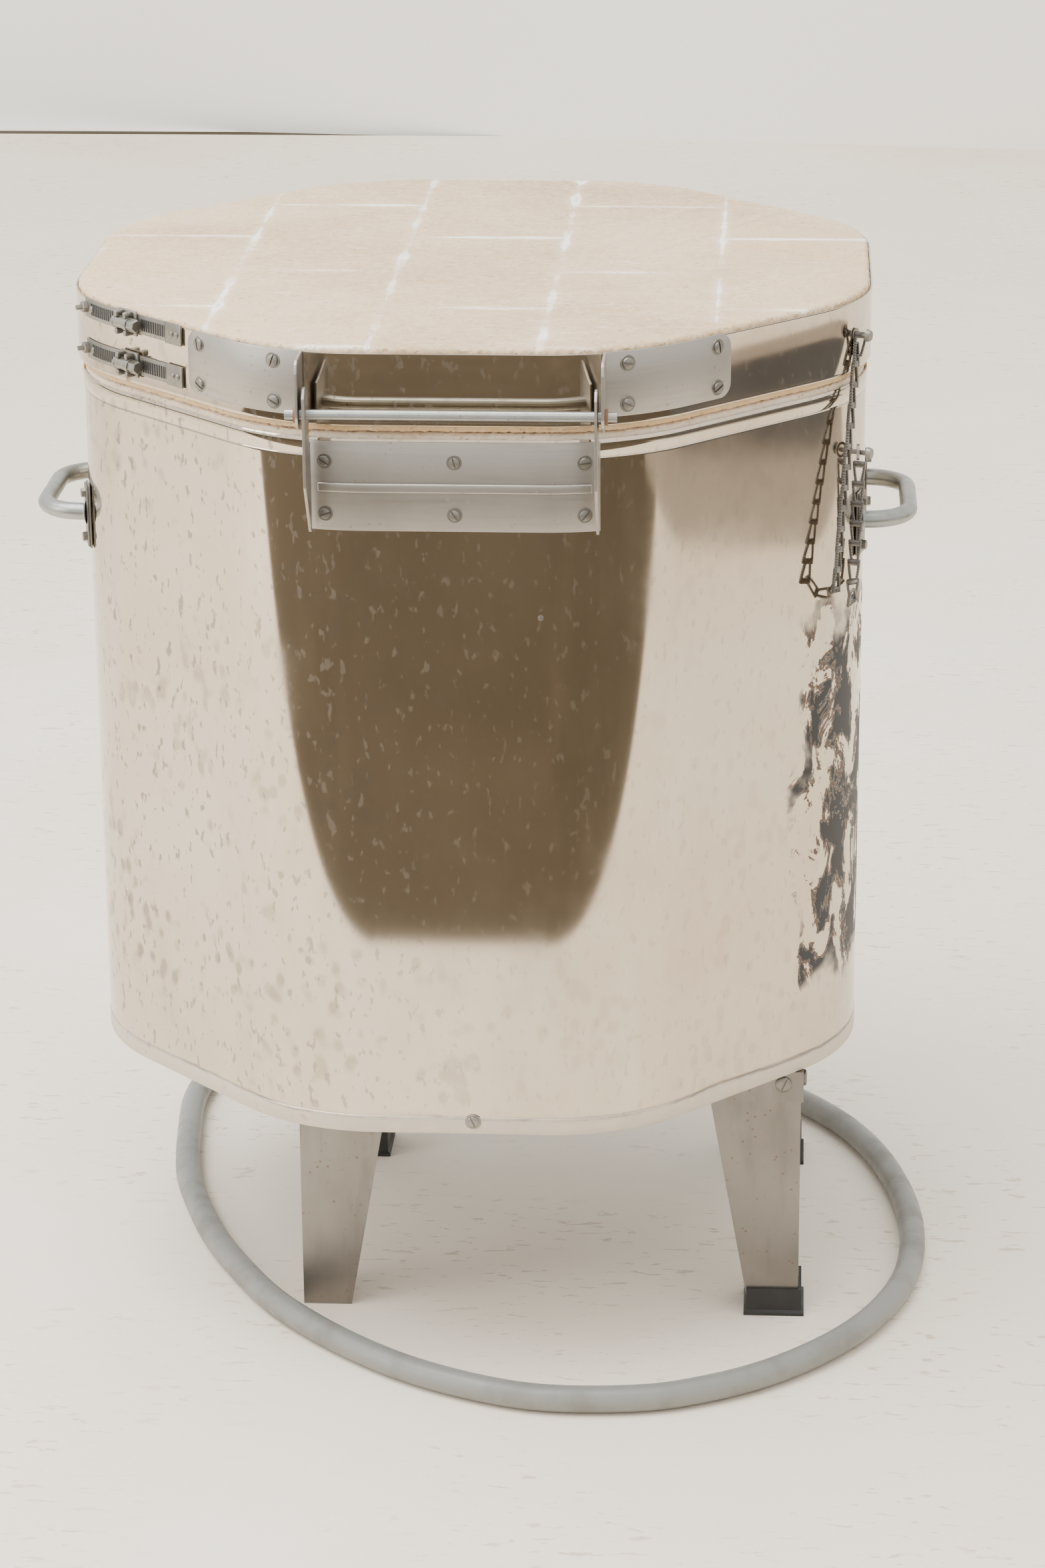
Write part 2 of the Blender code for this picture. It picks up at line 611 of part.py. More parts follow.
def angle_outline(corner, arm, sheet, out=0.0):
    """The outline of an angle section with its outer corner at a stand corner."""
    x, y, inward_x, inward_y = corner
    shape = [(-out, -out), (arm, -out), (arm, sheet), (sheet, sheet), (sheet, arm), (-out, arm)]
    return [(x + inward_x * u, y + inward_y * v) for u, v in shape]


def leg(corner, foot_z, grow=0.0):
    """A tapered angle leg, from its narrow foot to its wide top."""
    bm = bmesh.new()
    slope = (LEG_TOP_W - LEG_FOOT_W) / LEG_TOP
    rings = []
    for z in (foot_z - grow, LEG_TOP):
        arm = LEG_FOOT_W + slope * max(z, 0) + grow
        rings.append([bm.verts.new((x, y, z))
                      for x, y in angle_outline(corner, arm, LEG_T + grow, grow)])
    skin_over(bm, rings)
    return bm


def boot(word, corner):
    """A rubber boot with a flared sole, hollowed for the leg's foot."""
    x, y, inward_x, inward_y = corner
    bm = bmesh.new()
    rings = []
    for z, flare in ((0.0, BOOT_FLARE), (BOOT_SOLE * 0.6, BOOT_FLARE), (BOOT_SOLE, 0.0), (BOOT_H, 0.0)):
        low, high = -BOOT_WALL - flare, BOOT_W - BOOT_WALL + flare
        shape = [(low, low), (high, low), (high, high), (low, high)]
        rings.append([bm.verts.new((x + inward_x * u, y + inward_y * v, z)) for u, v in shape])
    skin_over(bm, rings)
    made = place(f"{word}_boot", bm, MATERIALS["rubber"])
    boolean(made, guide(f"cutter_{word}_boot", leg(corner, BOOT_SOLE + FIT, grow=FIT)), "DIFFERENCE")


frame = None
for word, corner in corners.items():
    x, y, inward_x, inward_y = corner
    outer = [(u - inward_x * (FIT + SHOE_T), v - inward_y * (FIT + SHOE_T))
             for u, v in angle_outline(corner, SHOE_W, SHOE_T)]
    shoe = prism(outer, FRAME_TOP - SHOE_DROP, FRAME_TOP)
    if frame is None:
        frame = place("stand_frame", shoe, MATERIALS["leg"])
    else:
        boolean(frame, guide(f"guide_{word}_shoe", shoe), "UNION")
for number, (first, second) in enumerate((("near_left", "far_right"), ("near_right", "far_left"))):
    a, b = Vector(corners[first][:2]), Vector(corners[second][:2])
    half_w = (b - a).normalized().orthogonal() * BRACE_W / 2
    outline = [a + half_w, a - half_w, b - half_w, b + half_w]
    # a notch keeps each brace's end square against the shoe's inner faces
    xs = sorted((STAND_LEFT - FIT - SHOE_T / 2, STAND_RIGHT + FIT + SHOE_T / 2))
    ys = sorted((STAND_NEAR - FIT - SHOE_T / 2, STAND_FAR + FIT + SHOE_T / 2))
    bm = prism([(p.x, p.y) for p in outline], FRAME_TOP - BRACE_T, FRAME_TOP)
    for at, away in (((xs[0], 0, 0), (-1, 0, 0)), ((xs[1], 0, 0), (1, 0, 0)),
                     ((0, ys[0], 0), (0, -1, 0)), ((0, ys[1], 0), (0, 1, 0))):
        cut = bmesh.ops.bisect_plane(bm, geom=bm.verts[:] + bm.edges[:] + bm.faces[:],
                                     plane_co=at, plane_no=away, clear_outer=True)
        rim = [e for e in cut["geom_cut"] if isinstance(e, bmesh.types.BMEdge)]
        if rim:
            bmesh.ops.contextual_create(bm, geom=rim)
    boolean(frame, guide(f"guide_brace_{number + 1}", bm), "UNION")

# the near left leg has lost its boot and stands on bare steel, so it reaches lower
for word, corner in corners.items():
    booted = word != "near_left"
    place(f"{word}_leg", leg(corner, BOOT_SOLE + 2 * FIT if booted else 0.0), MATERIALS["leg"])
    if booted:
        boot(word, corner)

# ---------------------------------------------------------------- control box on the far side
shell = box((-BOX_W / 2, BOX_Y, BOX_Z), (BOX_W / 2, BOX_Y + BOX_D, BOX_Z + BOX_H))
mouth = [f for f in shell.faces if f.calc_center_median().y > BOX_Y + BOX_D - FIT]
bmesh.ops.inset_region(shell, faces=mouth, thickness=BOX_SHEET, use_even_offset=True)
pressed = bmesh.ops.extrude_discrete_faces(shell, faces=mouth)["faces"]
bmesh.ops.translate(shell, verts=pressed[0].verts, vec=(0, BOX_SHEET - BOX_D, 0))
place("control_box", shell, MATERIALS["grey_paint"])
place("control_box_cover", box((-BOX_W / 2, COVER_Y, BOX_Z), (BOX_W / 2, COVER_Y + BOX_SHEET,
                                                              BOX_Z + BOX_H)),
      MATERIALS["grey_paint"])

knob_z = [BOX_Z + BOX_H / 2 + (i - (KNOB_COUNT - 1) / 2) * KNOB_PITCH for i in range(KNOB_COUNT)]
knob_y = COVER_Y + BOX_SHEET + FIT
for word, height in zip(("lower", "middle", "upper"), knob_z):
    grip = turned([(0, 0), (KNOB_R, 0), (KNOB_R, KNOB_H * 0.3), (KNOB_R * 0.8, KNOB_H * 0.45),
                   (KNOB_R * 0.72, KNOB_H), (0, KNOB_H)], (0, knob_y, height), (0, 1, 0))
    place(f"{word}_switch_knob", grip, MATERIALS["black_plastic"], origin=(0, knob_y, height))
lamp_z = knob_z[-1] + KNOB_PITCH * 0.6
place("pilot_lamp", turned([(0, 0), (LAMP_R, 0), (LAMP_R, LAMP_H / 2), (LAMP_R * 0.7, LAMP_H * 0.85),
                            (0, LAMP_H)], (BOX_W / 4, knob_y, lamp_z), (0, 1, 0), sides=16),
      MATERIALS["lamp"])

block_y = BOX_Y + BOX_SHEET + FIT
place("terminal_block", box((GLAND_X - 0.035, block_y, BOX_Z + 0.045),
                            (GLAND_X + 0.035, block_y + 0.022, BOX_Z + 0.070)),
      MATERIALS["ceramic"])

gland_y = BOX_Y + BOX_D / 2
gland_top = BOX_Z - FIT
gland_profile = [(0, 0), (GLAND_R, 0), (GLAND_R, GLAND_L * 0.3), (GLAND_R * 0.86, GLAND_L * 0.35),
                 (CABLE_R + 0.0028, GLAND_L), (0, GLAND_L)]
place("cable_gland", turned(gland_profile, (GLAND_X, gland_y, gland_top), (0, 0, -1)),
      MATERIALS["black_plastic"])

# ---------------------------------------------------------------- cable and its plug
route = [Vector(p) for p in CABLE_ROUTE]
gland_end = gland_top - GLAND_L - FIT
# the hanging part follows the gland when the kiln's height or width changes
straight_end = gland_end - (route[0].z - route[1].z)
fall = straight_end / route[1].z
aside = gland_y - route[0].y
for point, share in zip(route, (1, 1, 0.8, 0.6, 0.4, 0.2)):
    point.y += aside * share
    point.z = max(CABLE_R + FIT, point.z * fall)
route[0].xz = (GLAND_X, gland_end)
route[1].xz = (GLAND_X, straight_end)
path = smooth_path(route, CABLE_STEP)
curve = bpy.data.curves.new("power_cable", "CURVE")
curve.dimensions = "3D"
curve.bevel_depth = CABLE_R
curve.bevel_resolution = 2
curve.use_fill_caps = True
spline = curve.splines.new("POLY")
spline.points.add(len(path) - 1)
for point, at in zip(spline.points, path):
    point.co = (at.x, at.y + AXIS_Y, at.z, 1.0)
curve.materials.append(MATERIALS["cable"])
cable = bpy.data.objects.new("power_cable", curve)
bpy.context.scene.collection.objects.link(cable)

plug_way = (path[-1] - path[-2]).normalized()
plug_at = path[-1] + plug_way * FIT
body_end = PLUG_TAIL_L + PLUG_BODY_L
shroud_end = body_end + PLUG_SHROUD_L
place("plug_body",
      turned([(0, 0), (CABLE_R + 0.003, 0), (PLUG_BODY_R * 0.62, PLUG_TAIL_L * 0.8),
              (PLUG_BODY_R * 0.86, PLUG_TAIL_L), (PLUG_BODY_R, PLUG_TAIL_L + PLUG_BODY_L * 0.3),
              (PLUG_BODY_R, shroud_end), (PLUG_BODY_R - PLUG_SHROUD_T, shroud_end),
              (PLUG_BODY_R - PLUG_SHROUD_T, body_end), (0, body_end)], plug_at, plug_way, sides=20),
      MATERIALS["black_plastic"])
carrier_r = PLUG_BODY_R - PLUG_SHROUD_T - 2 * FIT
pins = place("plug_pins", turned([(0, body_end + FIT), (carrier_r, body_end + FIT),
                                  (carrier_r, body_end + 0.006), (0, body_end + 0.006)],
                                 plug_at, plug_way, sides=20), MATERIALS["brass"])
lie = aim(plug_at, plug_way)
for number in range(PIN_COUNT):
    angle = math.tau * (number + 0.1) / PIN_COUNT
    foot = Vector((PIN_RING_R * math.cos(angle), PIN_RING_R * math.sin(angle), body_end + 0.003))
    pin = turned([(0, 0), (PIN_R, 0), (PIN_R, PIN_L), (0, PIN_L + PIN_R / 2)], lie @ foot, plug_way,
                 sides=10)
    boolean(pins, guide(f"guide_pin_{number + 1}", pin), "UNION")

# ---------------------------------------------------------------- hinge rod and washers
rod_pivot = pivot("rod_pivot", (HINGE_SIDE_SHIFT, HINGE_Y, HINGE_Z))
lid_ear_inner = EAR_PITCH / 2 + EAR_T / 2 + LID_EAR_GAP
washer_inner = lid_ear_inner + EAR_T + FIT
rod_half = washer_inner + WASHER_T + ROD_PROUD
place("hinge_rod", turned([(0, 0), (ROD_R, 0), (ROD_R, 2 * rod_half), (0, 2 * rod_half)],
                          (HINGE_SIDE_SHIFT - rod_half, HINGE_Y, HINGE_Z), (1, 0, 0), sides=16),
      MATERIALS["steel"], parent=rod_pivot)
for side, word in ((-1, "left"), (1, "right")):
    bore = ROD_R + FIT
    start = (HINGE_SIDE_SHIFT + side * washer_inner, HINGE_Y, HINGE_Z)
    place(f"{word}_rod_washer", turned([(bore, 0), (WASHER_R, 0), (WASHER_R, WASHER_T),
                                        (bore, WASHER_T), (bore, 0)], start, (side, 0, 0), sides=16),
          MATERIALS["rust"], parent=rod_pivot)

# ---------------------------------------------------------------- lid
lid_pivot = pivot("lid_pivot", (HINGE_SIDE_SHIFT, HINGE_Y, HINGE_Z))
place("lid_slab", prism(octagon(LID_HALF - SHEET - FIT, BRICK_R), LID_Z, LID_TOP),
      MATERIALS["firebrick"], parent=lid_pivot)
band_top = LID_TOP - BAND_TOP_DROP
place("lid_band", hoop([(LID_HALF, CORNER_R, band_top - BAND_H), (LID_HALF, CORNER_R, band_top),
                        (LID_HALF - SHEET, CORNER_R - SHEET, band_top),
                        (LID_HALF - SHEET, CORNER_R - SHEET, band_top - BAND_H)]),
      MATERIALS["stainless"], parent=lid_pivot)


def lid_hinge_plate(side, word):
    """A plate bent round the lid's corner, with an ear turned out to take the rod."""
    inner = start = HINGE_SIDE_SHIFT * side + lid_ear_inner
    for _ in range(12):
        x, back, normal = skin_point(LID_HALF, CORNER_R, start, FIT + BRACKET_T / 2)
        start += inner + EAR_T * 0.35 - x
    high = LID_TOP - LID_PLATE_DROP
    low = high - LID_PLATE_H
    bm = strip(LID_HALF, start, LID_PLATE_RUN, low, high, FIT, FIT + BRACKET_T, steps=14)
    front = HINGE_Y - EAR_REACH
    foot = HINGE_Z - LID_EAR_LOW
    r = EAR_REACH / 3
    outline = [(back, low - r), (HINGE_Y + r, foot), (front + r, foot), (front, foot + r),
               (front, high - r), (front + r, high), (back, high)]
    ear = prism(outline, 0, EAR_T)
    upright = Matrix(((0, 0, 1, inner), (1, 0, 0, 0), (0, 1, 0, 0), (0, 0, 0, 1)))
    bmesh.ops.transform(ear, matrix=upright, verts=ear.verts)
    bore = turned([(0, 0), (ROD_R + FIT, 0), (ROD_R + FIT, 4 * EAR_T), (0, 4 * EAR_T)],
                  (inner - EAR_T, HINGE_Y, HINGE_Z), (1, 0, 0), sides=16)
    for piece in (bm, ear, bore):
        bmesh.ops.scale(piece, verts=piece.verts, vec=(side, 1, 1))
    plate = place(f"{word}_lid_hinge_plate", bm, MATERIALS["satin"], parent=lid_pivot)
    boolean(plate, guide(f"guide_{word}_lid_ear", ear), "UNION")
    boolean(plate, guide(f"cutter_{word}_lid_ear", bore), "DIFFERENCE")


lid_hinge_plate(-1, "left")
lid_hinge_plate(1, "right")

# ---------------------------------------------------------------- screw clamps on the band
STRAP_OUT = FIT + STRAP_T
SCREW_OUT = STRAP_OUT + CLAMP_HOUSING_T + FIT + BARREL_R + BARREL_GAP


def clamp(word, drop):
    """A slotted strap and saddle, riveted to the band's ends, and the screw that pulls them up."""
    middle = LID_TOP - drop
    strap = place(f"{word}_clamp", strip(LID_HALF, STRAP_START, STRAP_RUN, middle - STRAP_H / 2,
                                         middle + STRAP_H / 2, FIT, STRAP_OUT, steps=14),
                  MATERIALS["stainless"], parent=lid_pivot)
    head_run = STRAP_START + STRAP_RUN - CLAMP_SCREW_RUN
    x, y, normal = skin_point(LID_HALF, CORNER_R, head_run - CLAMP_HOUSING_L / 2)
    out = Vector((math.cos(normal), math.sin(normal), 0))
    along = Vector((-out.y, out.x, 0))
    turn = Matrix((along, out, (0, 0, 1))).transposed().to_4x4()
    lie = Matrix.Translation((x, y, middle)) @ turn
    half_l, half_h = CLAMP_HOUSING_L / 2, CLAMP_HOUSING_H / 2
    saddle = box((-half_l, FIT + STRAP_T / 2, -half_h), (half_l, STRAP_OUT + CLAMP_HOUSING_T, half_h))
    cheeks = []
    for up in (-1, 1):
        low, high = sorted((up * half_h, up * (BARREL_R + BARREL_GAP)))
        cheeks.append(box((FIT - half_l, STRAP_OUT + CLAMP_HOUSING_T / 2, low),
                          (half_l - FIT, SCREW_OUT + BARREL_R / 2, high)))
    for piece_name, piece in (("saddle", saddle), ("lower_cheek", cheeks[0]),
                              ("upper_cheek", cheeks[1])):
        bmesh.ops.transform(piece, matrix=lie, verts=piece.verts)
        boolean(strap, guide(f"guide_{word}_{piece_name}", piece), "UNION")
    start = lie @ Vector((-BARREL_L + half_l + FIT, SCREW_OUT, 0))
    screw = turned([(0, 0), (BARREL_R * 0.9, 0), (BARREL_R, BARREL_R * 0.1), (BARREL_R, BARREL_L),
                    (HEX_R, BARREL_L + FIT), (HEX_R, BARREL_L + HEX_L - FIT),
                    (HEX_R * 0.86, BARREL_L + HEX_L), (0, BARREL_L + HEX_L)], start, along, sides=12)
    place(f"{word}_clamp_screw", screw, MATERIALS["steel"], origin=start)


clamp("upper", UPPER_STRAP_DROP)
clamp("lower", LOWER_STRAP_DROP)

# ---------------------------------------------------------------- lifting handle on the lid's far side
handle_height = LID_TOP - LID_HANDLE_DROP
band_y = LID_HALF + FIT
handle_path = rounded_u((-LID_HANDLE_SPAN / 2, band_y, handle_height),
                        (LID_HANDLE_SPAN / 2, band_y, handle_height), (0, 1, 0), LID_HANDLE_REACH,
                        LID_HANDLE_BEND_R)
place("lid_handle", tube(handle_path, LID_HANDLE_TUBE_R, Vector((0, 0, 1))), MATERIALS["black_plastic"],
      parent=lid_pivot)

# ---------------------------------------------------------------- chain and its anchors
anchor_out = Vector((math.cos(ANCHOR_ANGLE), math.sin(ANCHOR_ANGLE), 0))
chain_face = Vector((1, 0, 0))       # the chain swings in the plane square to the hinge rod
chain_along = Vector((0, -1, 0))


def anchor(name, half, length, height, parent):
    """A screw that stands out of the skin and takes the chain behind its head."""
    run = run_of_angle(half, CORNER_R, ANCHOR_ANGLE)
    x, y, _ = skin_point(half, CORNER_R, run, FIT)
    profile = [(0, 0), (ANCHOR_HEAD_R, 0), (ANCHOR_HEAD_R, FIT * 3), (ANCHOR_SHANK_R, FIT * 3),
               (ANCHOR_SHANK_R, length), (ANCHOR_HEAD_R, length),
               (ANCHOR_HEAD_R * 0.8, length + ANCHOR_HEAD_T), (0, length + ANCHOR_HEAD_T)]
    place(name, turned(profile, (x, y, height), anchor_out, sides=12), MATERIALS["steel"],
          parent=parent)
    return Vector((x, y, height))


body_anchor_z = JACKET_TOP - BODY_ANCHOR_DROP
foot = anchor("body_chain_anchor", JACKET_HALF, BODY_ANCHOR_L, body_anchor_z, None)
anchor("lid_chain_anchor", LID_HALF, LID_ANCHOR_L, LID_TOP - LID_ANCHOR_DROP, lid_pivot)

eye_at = foot + anchor_out * CHAIN_OUT
eye = turned([(EYE_R - EYE_WIRE_R, -EYE_WIRE_R), (EYE_R + EYE_WIRE_R, -EYE_WIRE_R),
              (EYE_R + EYE_WIRE_R, EYE_WIRE_R), (EYE_R - EYE_WIRE_R, EYE_WIRE_R),
              (EYE_R - EYE_WIRE_R, -EYE_WIRE_R)], eye_at, chain_face, sides=12)
place("chain_eye", eye, MATERIALS["steel"], origin=eye_at)

# the first run hangs from the eye and turns about the shank inside it
joint = eye_at
for number, (links, lean) in enumerate(CHAIN_RUNS, start=1):
    lean = math.radians(lean)
    way = chain_along * math.sin(lean) - Vector((0, 0, math.cos(lean)))
    across = chain_face.cross(way)
    length = links * LINK_PITCH + (EYE_DROP if number == 1 else 0)
    start = EYE_R + EYE_WIRE_R + FIT if number == 1 else LINK_END
    bar = box((start, -LINK_T / 2, -LINK_W / 2), (length - LINK_END, LINK_T / 2, LINK_W / 2))
    bmesh.ops.bevel(bar, geom=bar.edges[:], offset=LINK_T * 0.3, segments=1, affect="EDGES",
                    profile=0.5, material=-1)
    turn = Matrix((way, across, chain_face)).transposed().to_4x4()
    bmesh.ops.transform(bar, matrix=Matrix.Translation(joint) @ turn, verts=bar.verts)
    place(f"chain_run_{number}", bar, MATERIALS["steel"], origin=joint)
    joint = joint + way * length
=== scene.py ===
"""Looks of a top-loading electric pottery kiln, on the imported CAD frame. Metres, +Z up."""

import math
import random

import bmesh
import bpy
from mathutils import Matrix, Vector


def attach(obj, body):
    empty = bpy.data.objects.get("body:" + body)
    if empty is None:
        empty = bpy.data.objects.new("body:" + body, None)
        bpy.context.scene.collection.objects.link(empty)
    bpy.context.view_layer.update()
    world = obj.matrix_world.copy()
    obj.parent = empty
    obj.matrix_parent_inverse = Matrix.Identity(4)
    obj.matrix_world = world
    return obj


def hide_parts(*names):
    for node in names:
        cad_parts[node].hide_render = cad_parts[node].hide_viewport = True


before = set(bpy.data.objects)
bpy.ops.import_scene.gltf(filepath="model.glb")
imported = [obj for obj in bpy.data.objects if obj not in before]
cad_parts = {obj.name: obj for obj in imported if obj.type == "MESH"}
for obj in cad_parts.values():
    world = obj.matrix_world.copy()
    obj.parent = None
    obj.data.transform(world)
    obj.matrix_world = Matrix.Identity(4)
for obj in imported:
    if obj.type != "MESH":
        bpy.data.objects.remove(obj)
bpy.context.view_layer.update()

# Pieces are drawn from the kiln's own axis, which stands a little nearer than the origin.
AXIS = Vector((0.0, -0.03505, 0.0))


# ------------------------------------------------------------------ camera
# A long lens looks down on the hinge side from a little above the lid.
camera = bpy.data.objects.new("camera", bpy.data.cameras.new("camera"))
bpy.context.scene.collection.objects.link(camera)
bpy.context.scene.camera = camera
camera.data.sensor_fit = "VERTICAL"
camera.data.sensor_height = 36.0
camera.data.lens = 97.63
heading, pitch, roll = math.radians(3.714), math.radians(19.435), math.radians(-0.433)
ahead = Vector((-math.sin(heading) * math.cos(pitch), math.cos(heading) * math.cos(pitch),
                -math.sin(pitch)))
level = Vector((math.cos(heading), math.sin(heading), 0.0))
upright = level.cross(ahead)
right = level * math.cos(roll) + upright * math.sin(roll)
top = upright * math.cos(roll) - level * math.sin(roll)
turn = Matrix((right, top, -ahead)).transposed().to_4x4()
camera.matrix_world = Matrix.Translation(Vector((0.2253, -3.0317, 1.4331)) + AXIS) @ turn


# ------------------------------------------------------------------ power cable
# A thick grey cable leaves the gland, goes round the front of the stand and ends in a plug
# behind. It is too stiff to lie flat in a coil; dirt and painted contact shade darken its foot.
class Paint:
    """A node material in the object's own coordinates, in metres.

    Each method adds one node, or a few, and gives back the socket that the next one takes.
    """

    def __init__(self, name, colour, roughness, metallic=0.0):
        self.material = bpy.data.materials.new(name)
        self.material.use_nodes = True
        self.tree = self.material.node_tree
        self.shader = self.tree.nodes["Principled BSDF"]
        self.put(self.shader, {"Base Color": (*colour, 1.0), "Roughness": roughness,
                               "Metallic": metallic})
        self.place = self.add("ShaderNodeTexCoord").outputs["Object"]
        split = self.add("ShaderNodeSeparateXYZ", {"Vector": self.place})
        self.x, self.y, self.z = split.outputs

    def put(self, made, values):
        for key, value in values.items():
            if isinstance(value, bpy.types.NodeSocket):
                self.tree.links.new(value, made.inputs[key])
            else:
                made.inputs[key].default_value = value

    def add(self, kind, values=None, **settings):
        made = self.tree.nodes.new(kind)
        for key, value in settings.items():
            setattr(made, key, value)
        self.put(made, values or {})
        return made

    def stretch(self, x, y, z):
        return self.add("ShaderNodeVectorMath", {0: self.place, 1: (x, y, z)},
                        operation="MULTIPLY").outputs["Vector"]

    def noise(self, scale, detail=4.0, rough=0.55, at=None, warp=0.0):
        values = {"Vector": at or self.place, "Scale": scale, "Detail": detail, "Roughness": rough,
                  "Distortion": warp}
        return self.add("ShaderNodeTexNoise", values).outputs["Fac"]

    def cells(self, scale, at=None, output="Distance", **settings):
        values = {"Vector": at or self.place, "Scale": scale}
        return self.add("ShaderNodeTexVoronoi", values, **settings).outputs[output]

    def math(self, operation, a, b=0.0, c=0.0):
        made = self.add("ShaderNodeMath", {0: a, 1: b}, operation=operation)
        if operation in ("MULTIPLY_ADD", "WRAP"):
            self.put(made, {2: c})
        return made.outputs[0]

    def fit(self, value, low, high, to_low=0.0, to_high=1.0):
        values = {"Value": value, "From Min": low, "From Max": high, "To Min": to_low,
                  "To Max": to_high}
        return self.add("ShaderNodeMapRange", values, interpolation_type="SMOOTHSTEP").outputs[0]

    def mix(self, amount, a, b):
        def colour(value):
            return (*value, 1.0) if isinstance(value, tuple) else value
        made = self.add("ShaderNodeMix", {0: amount, 6: colour(a), 7: colour(b)}, data_type="RGBA")
        return made.outputs[2]

    def blend(self, amount, a, b):
        return self.add("ShaderNodeMix", {0: amount, 2: a, 3: b}).outputs[0]

    def times(self, first, *others):
        for value in others:
            first = self.math("MULTIPLY", first, value)
        return first

    def window(self, value, low, high, soft):
        rise = self.fit(value, low - soft, low + soft)
        fall = self.fit(value, high - soft, high + soft, 1.0, 0.0)
        return self.math("MULTIPLY", rise, fall)

    def bump(self, height, strength, distance):
        before = self.shader.inputs["Normal"]
        values = {"Height": height, "Strength": strength, "Distance": distance}
        if before.links:
            values["Normal"] = before.links[0].from_socket
        self.put(self.shader, {"Normal": self.add("ShaderNodeBump", values).outputs["Normal"]})

    def colour(self, value):
        self.put(self.shader, {"Base Color": value})
        return self


def matt(name, colour, dirt_and_foot_shade, roughness, scale=60.0, amount=0.4, grain=0.2, foot=0.0):
    """A matt stuff: mottled tone, dirt and painted contact shade up to `foot` over the floor, a
    fine bump.
    """
    made = Paint(name, colour, roughness)
    mottle = made.fit(made.noise(scale, 5.0, 0.6), 0.42, 0.72)
    tone = made.mix(made.math("MULTIPLY", mottle, amount), colour, dirt_and_foot_shade)
    if foot:
        # up to `foot` over the floor the tone runs dark: dirt and a painted contact shadow
        foot_dirt_and_shade = made.fit(made.z, 0.0, foot, 1.0, 0.0)
        foot_patchiness = made.fit(made.noise(90.0, 4.0), 0.35, 0.60)
        tone = made.mix(made.math("MULTIPLY", foot_dirt_and_shade, foot_patchiness), tone, dirt_and_foot_shade)
    made.colour(tone)
    fine = made.noise(scale * 9.0, 3.0)
    made.put(made.shader, {"Roughness": made.math("MULTIPLY_ADD", mottle, 0.2, roughness)})
    made.bump(fine, grain, 0.0004)
    return made


def smooth(route, step):
    """Even points on the smooth curve through a route."""
    pts = [Vector(p) for p in route]
    pts = [2 * pts[0] - pts[1]] + pts + [2 * pts[-1] - pts[-2]]
    fine = []
    for p0, p1, p2, p3 in zip(pts, pts[1:], pts[2:], pts[3:]):
        for i in range(20):
            t = i / 20
            fine.append(0.5 * (2 * p1 + (p2 - p0) * t + (2 * p0 - 5 * p1 + 4 * p2 - p3) * t ** 2
                               + (3 * p1 - p0 - 3 * p2 + p3) * t ** 3))
    fine.append(pts[-2])
    length = sum((b - a).length for a, b in zip(fine, fine[1:]))
    picked, walked = [fine[0]], 0.0
    for a, b in zip(fine, fine[1:]):
        walked += (b - a).length
        if walked >= step * len(picked) and length - walked > step / 2:
            picked.append(b)
    return picked + [fine[-1]], length


def tube(name, points, radius, paint, body, radii=None, cyclic=False):
    """A round bar or wire along points measured from the kiln's axis."""
    curve = bpy.data.curves.new(name, "CURVE")
    curve.dimensions = "3D"
    curve.bevel_depth = radius
    curve.bevel_resolution = 6
    curve.use_fill_caps = not cyclic
    spline = curve.splines.new("POLY")
    spline.points.add(len(points) - 1)
    for index, (point, at) in enumerate(zip(spline.points, points)):
        point.co = (*(Vector(at) + AXIS), 1.0)
        point.radius = radii[index] if radii else 1.0
    spline.use_cyclic_u = cyclic
    spline.use_smooth = True
    curve.materials.append(paint.material)
    made = bpy.data.objects.new(name, curve)
    bpy.context.scene.collection.objects.link(made)
    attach(made, body)
    return made


# the cable's foot is darkened by dirt and a painted contact shadow
sheath = matt("grey_sheath", (0.215, 0.215, 0.198), (0.12, 0.11, 0.09), 0.40, 28.0, 0.45, 0.10,
              0.0045)
CABLE_R = 0.0098
route = [(-0.060, 0.3213, 0.2427), (-0.060, 0.3213, 0.2100), (-0.064, 0.3260, 0.1500),
         (-0.078, 0.3310, 0.0900), (-0.110, 0.3370, 0.0400), (-0.160, 0.3360, 0.0150),
         (-0.212, 0.3140, 0.0103), (-0.246, 0.2680, 0.0103), (-0.259, 0.2050, 0.0103),
         (-0.255, 0.1300, 0.0103), (-0.245, 0.0500, 0.0103), (-0.228, -0.0120, 0.0103),
         (-0.206, -0.0720, 0.0103), (-0.180, -0.1240, 0.0103), (-0.150, -0.1740, 0.0103),
         (-0.119, -0.2120, 0.0103), (-0.080, -0.2500, 0.0103), (-0.036, -0.2830, 0.0103),
         (0.017, -0.3090, 0.0103), (0.067, -0.3210, 0.0103), (0.133, -0.3170, 0.0103),
         (0.183, -0.2980, 0.0103), (0.227, -0.2690, 0.0103), (0.269, -0.2260, 0.0103),
         (0.300, -0.1770, 0.0103), (0.322, -0.1170, 0.0103), (0.330, -0.0460, 0.0103),
         (0.325, 0.0260, 0.0103), (0.309, 0.0970, 0.0103), (0.287, 0.1520, 0.0103),
         (0.262, 0.1920, 0.0103), (0.232, 0.2280, 0.0103), (0.201, 0.2610, 0.0110),
         (0.175, 0.2880, 0.0150), (0.149, 0.3130, 0.0250), (0.121, 0.3340, 0.0316),
         (0.090, 0.3540, 0.0316)]
line, line_length = smooth(route, 0.012)
cable = tube("cable_sheath", line, CABLE_R, sheath, "kiln_body")
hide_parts("power_cable")


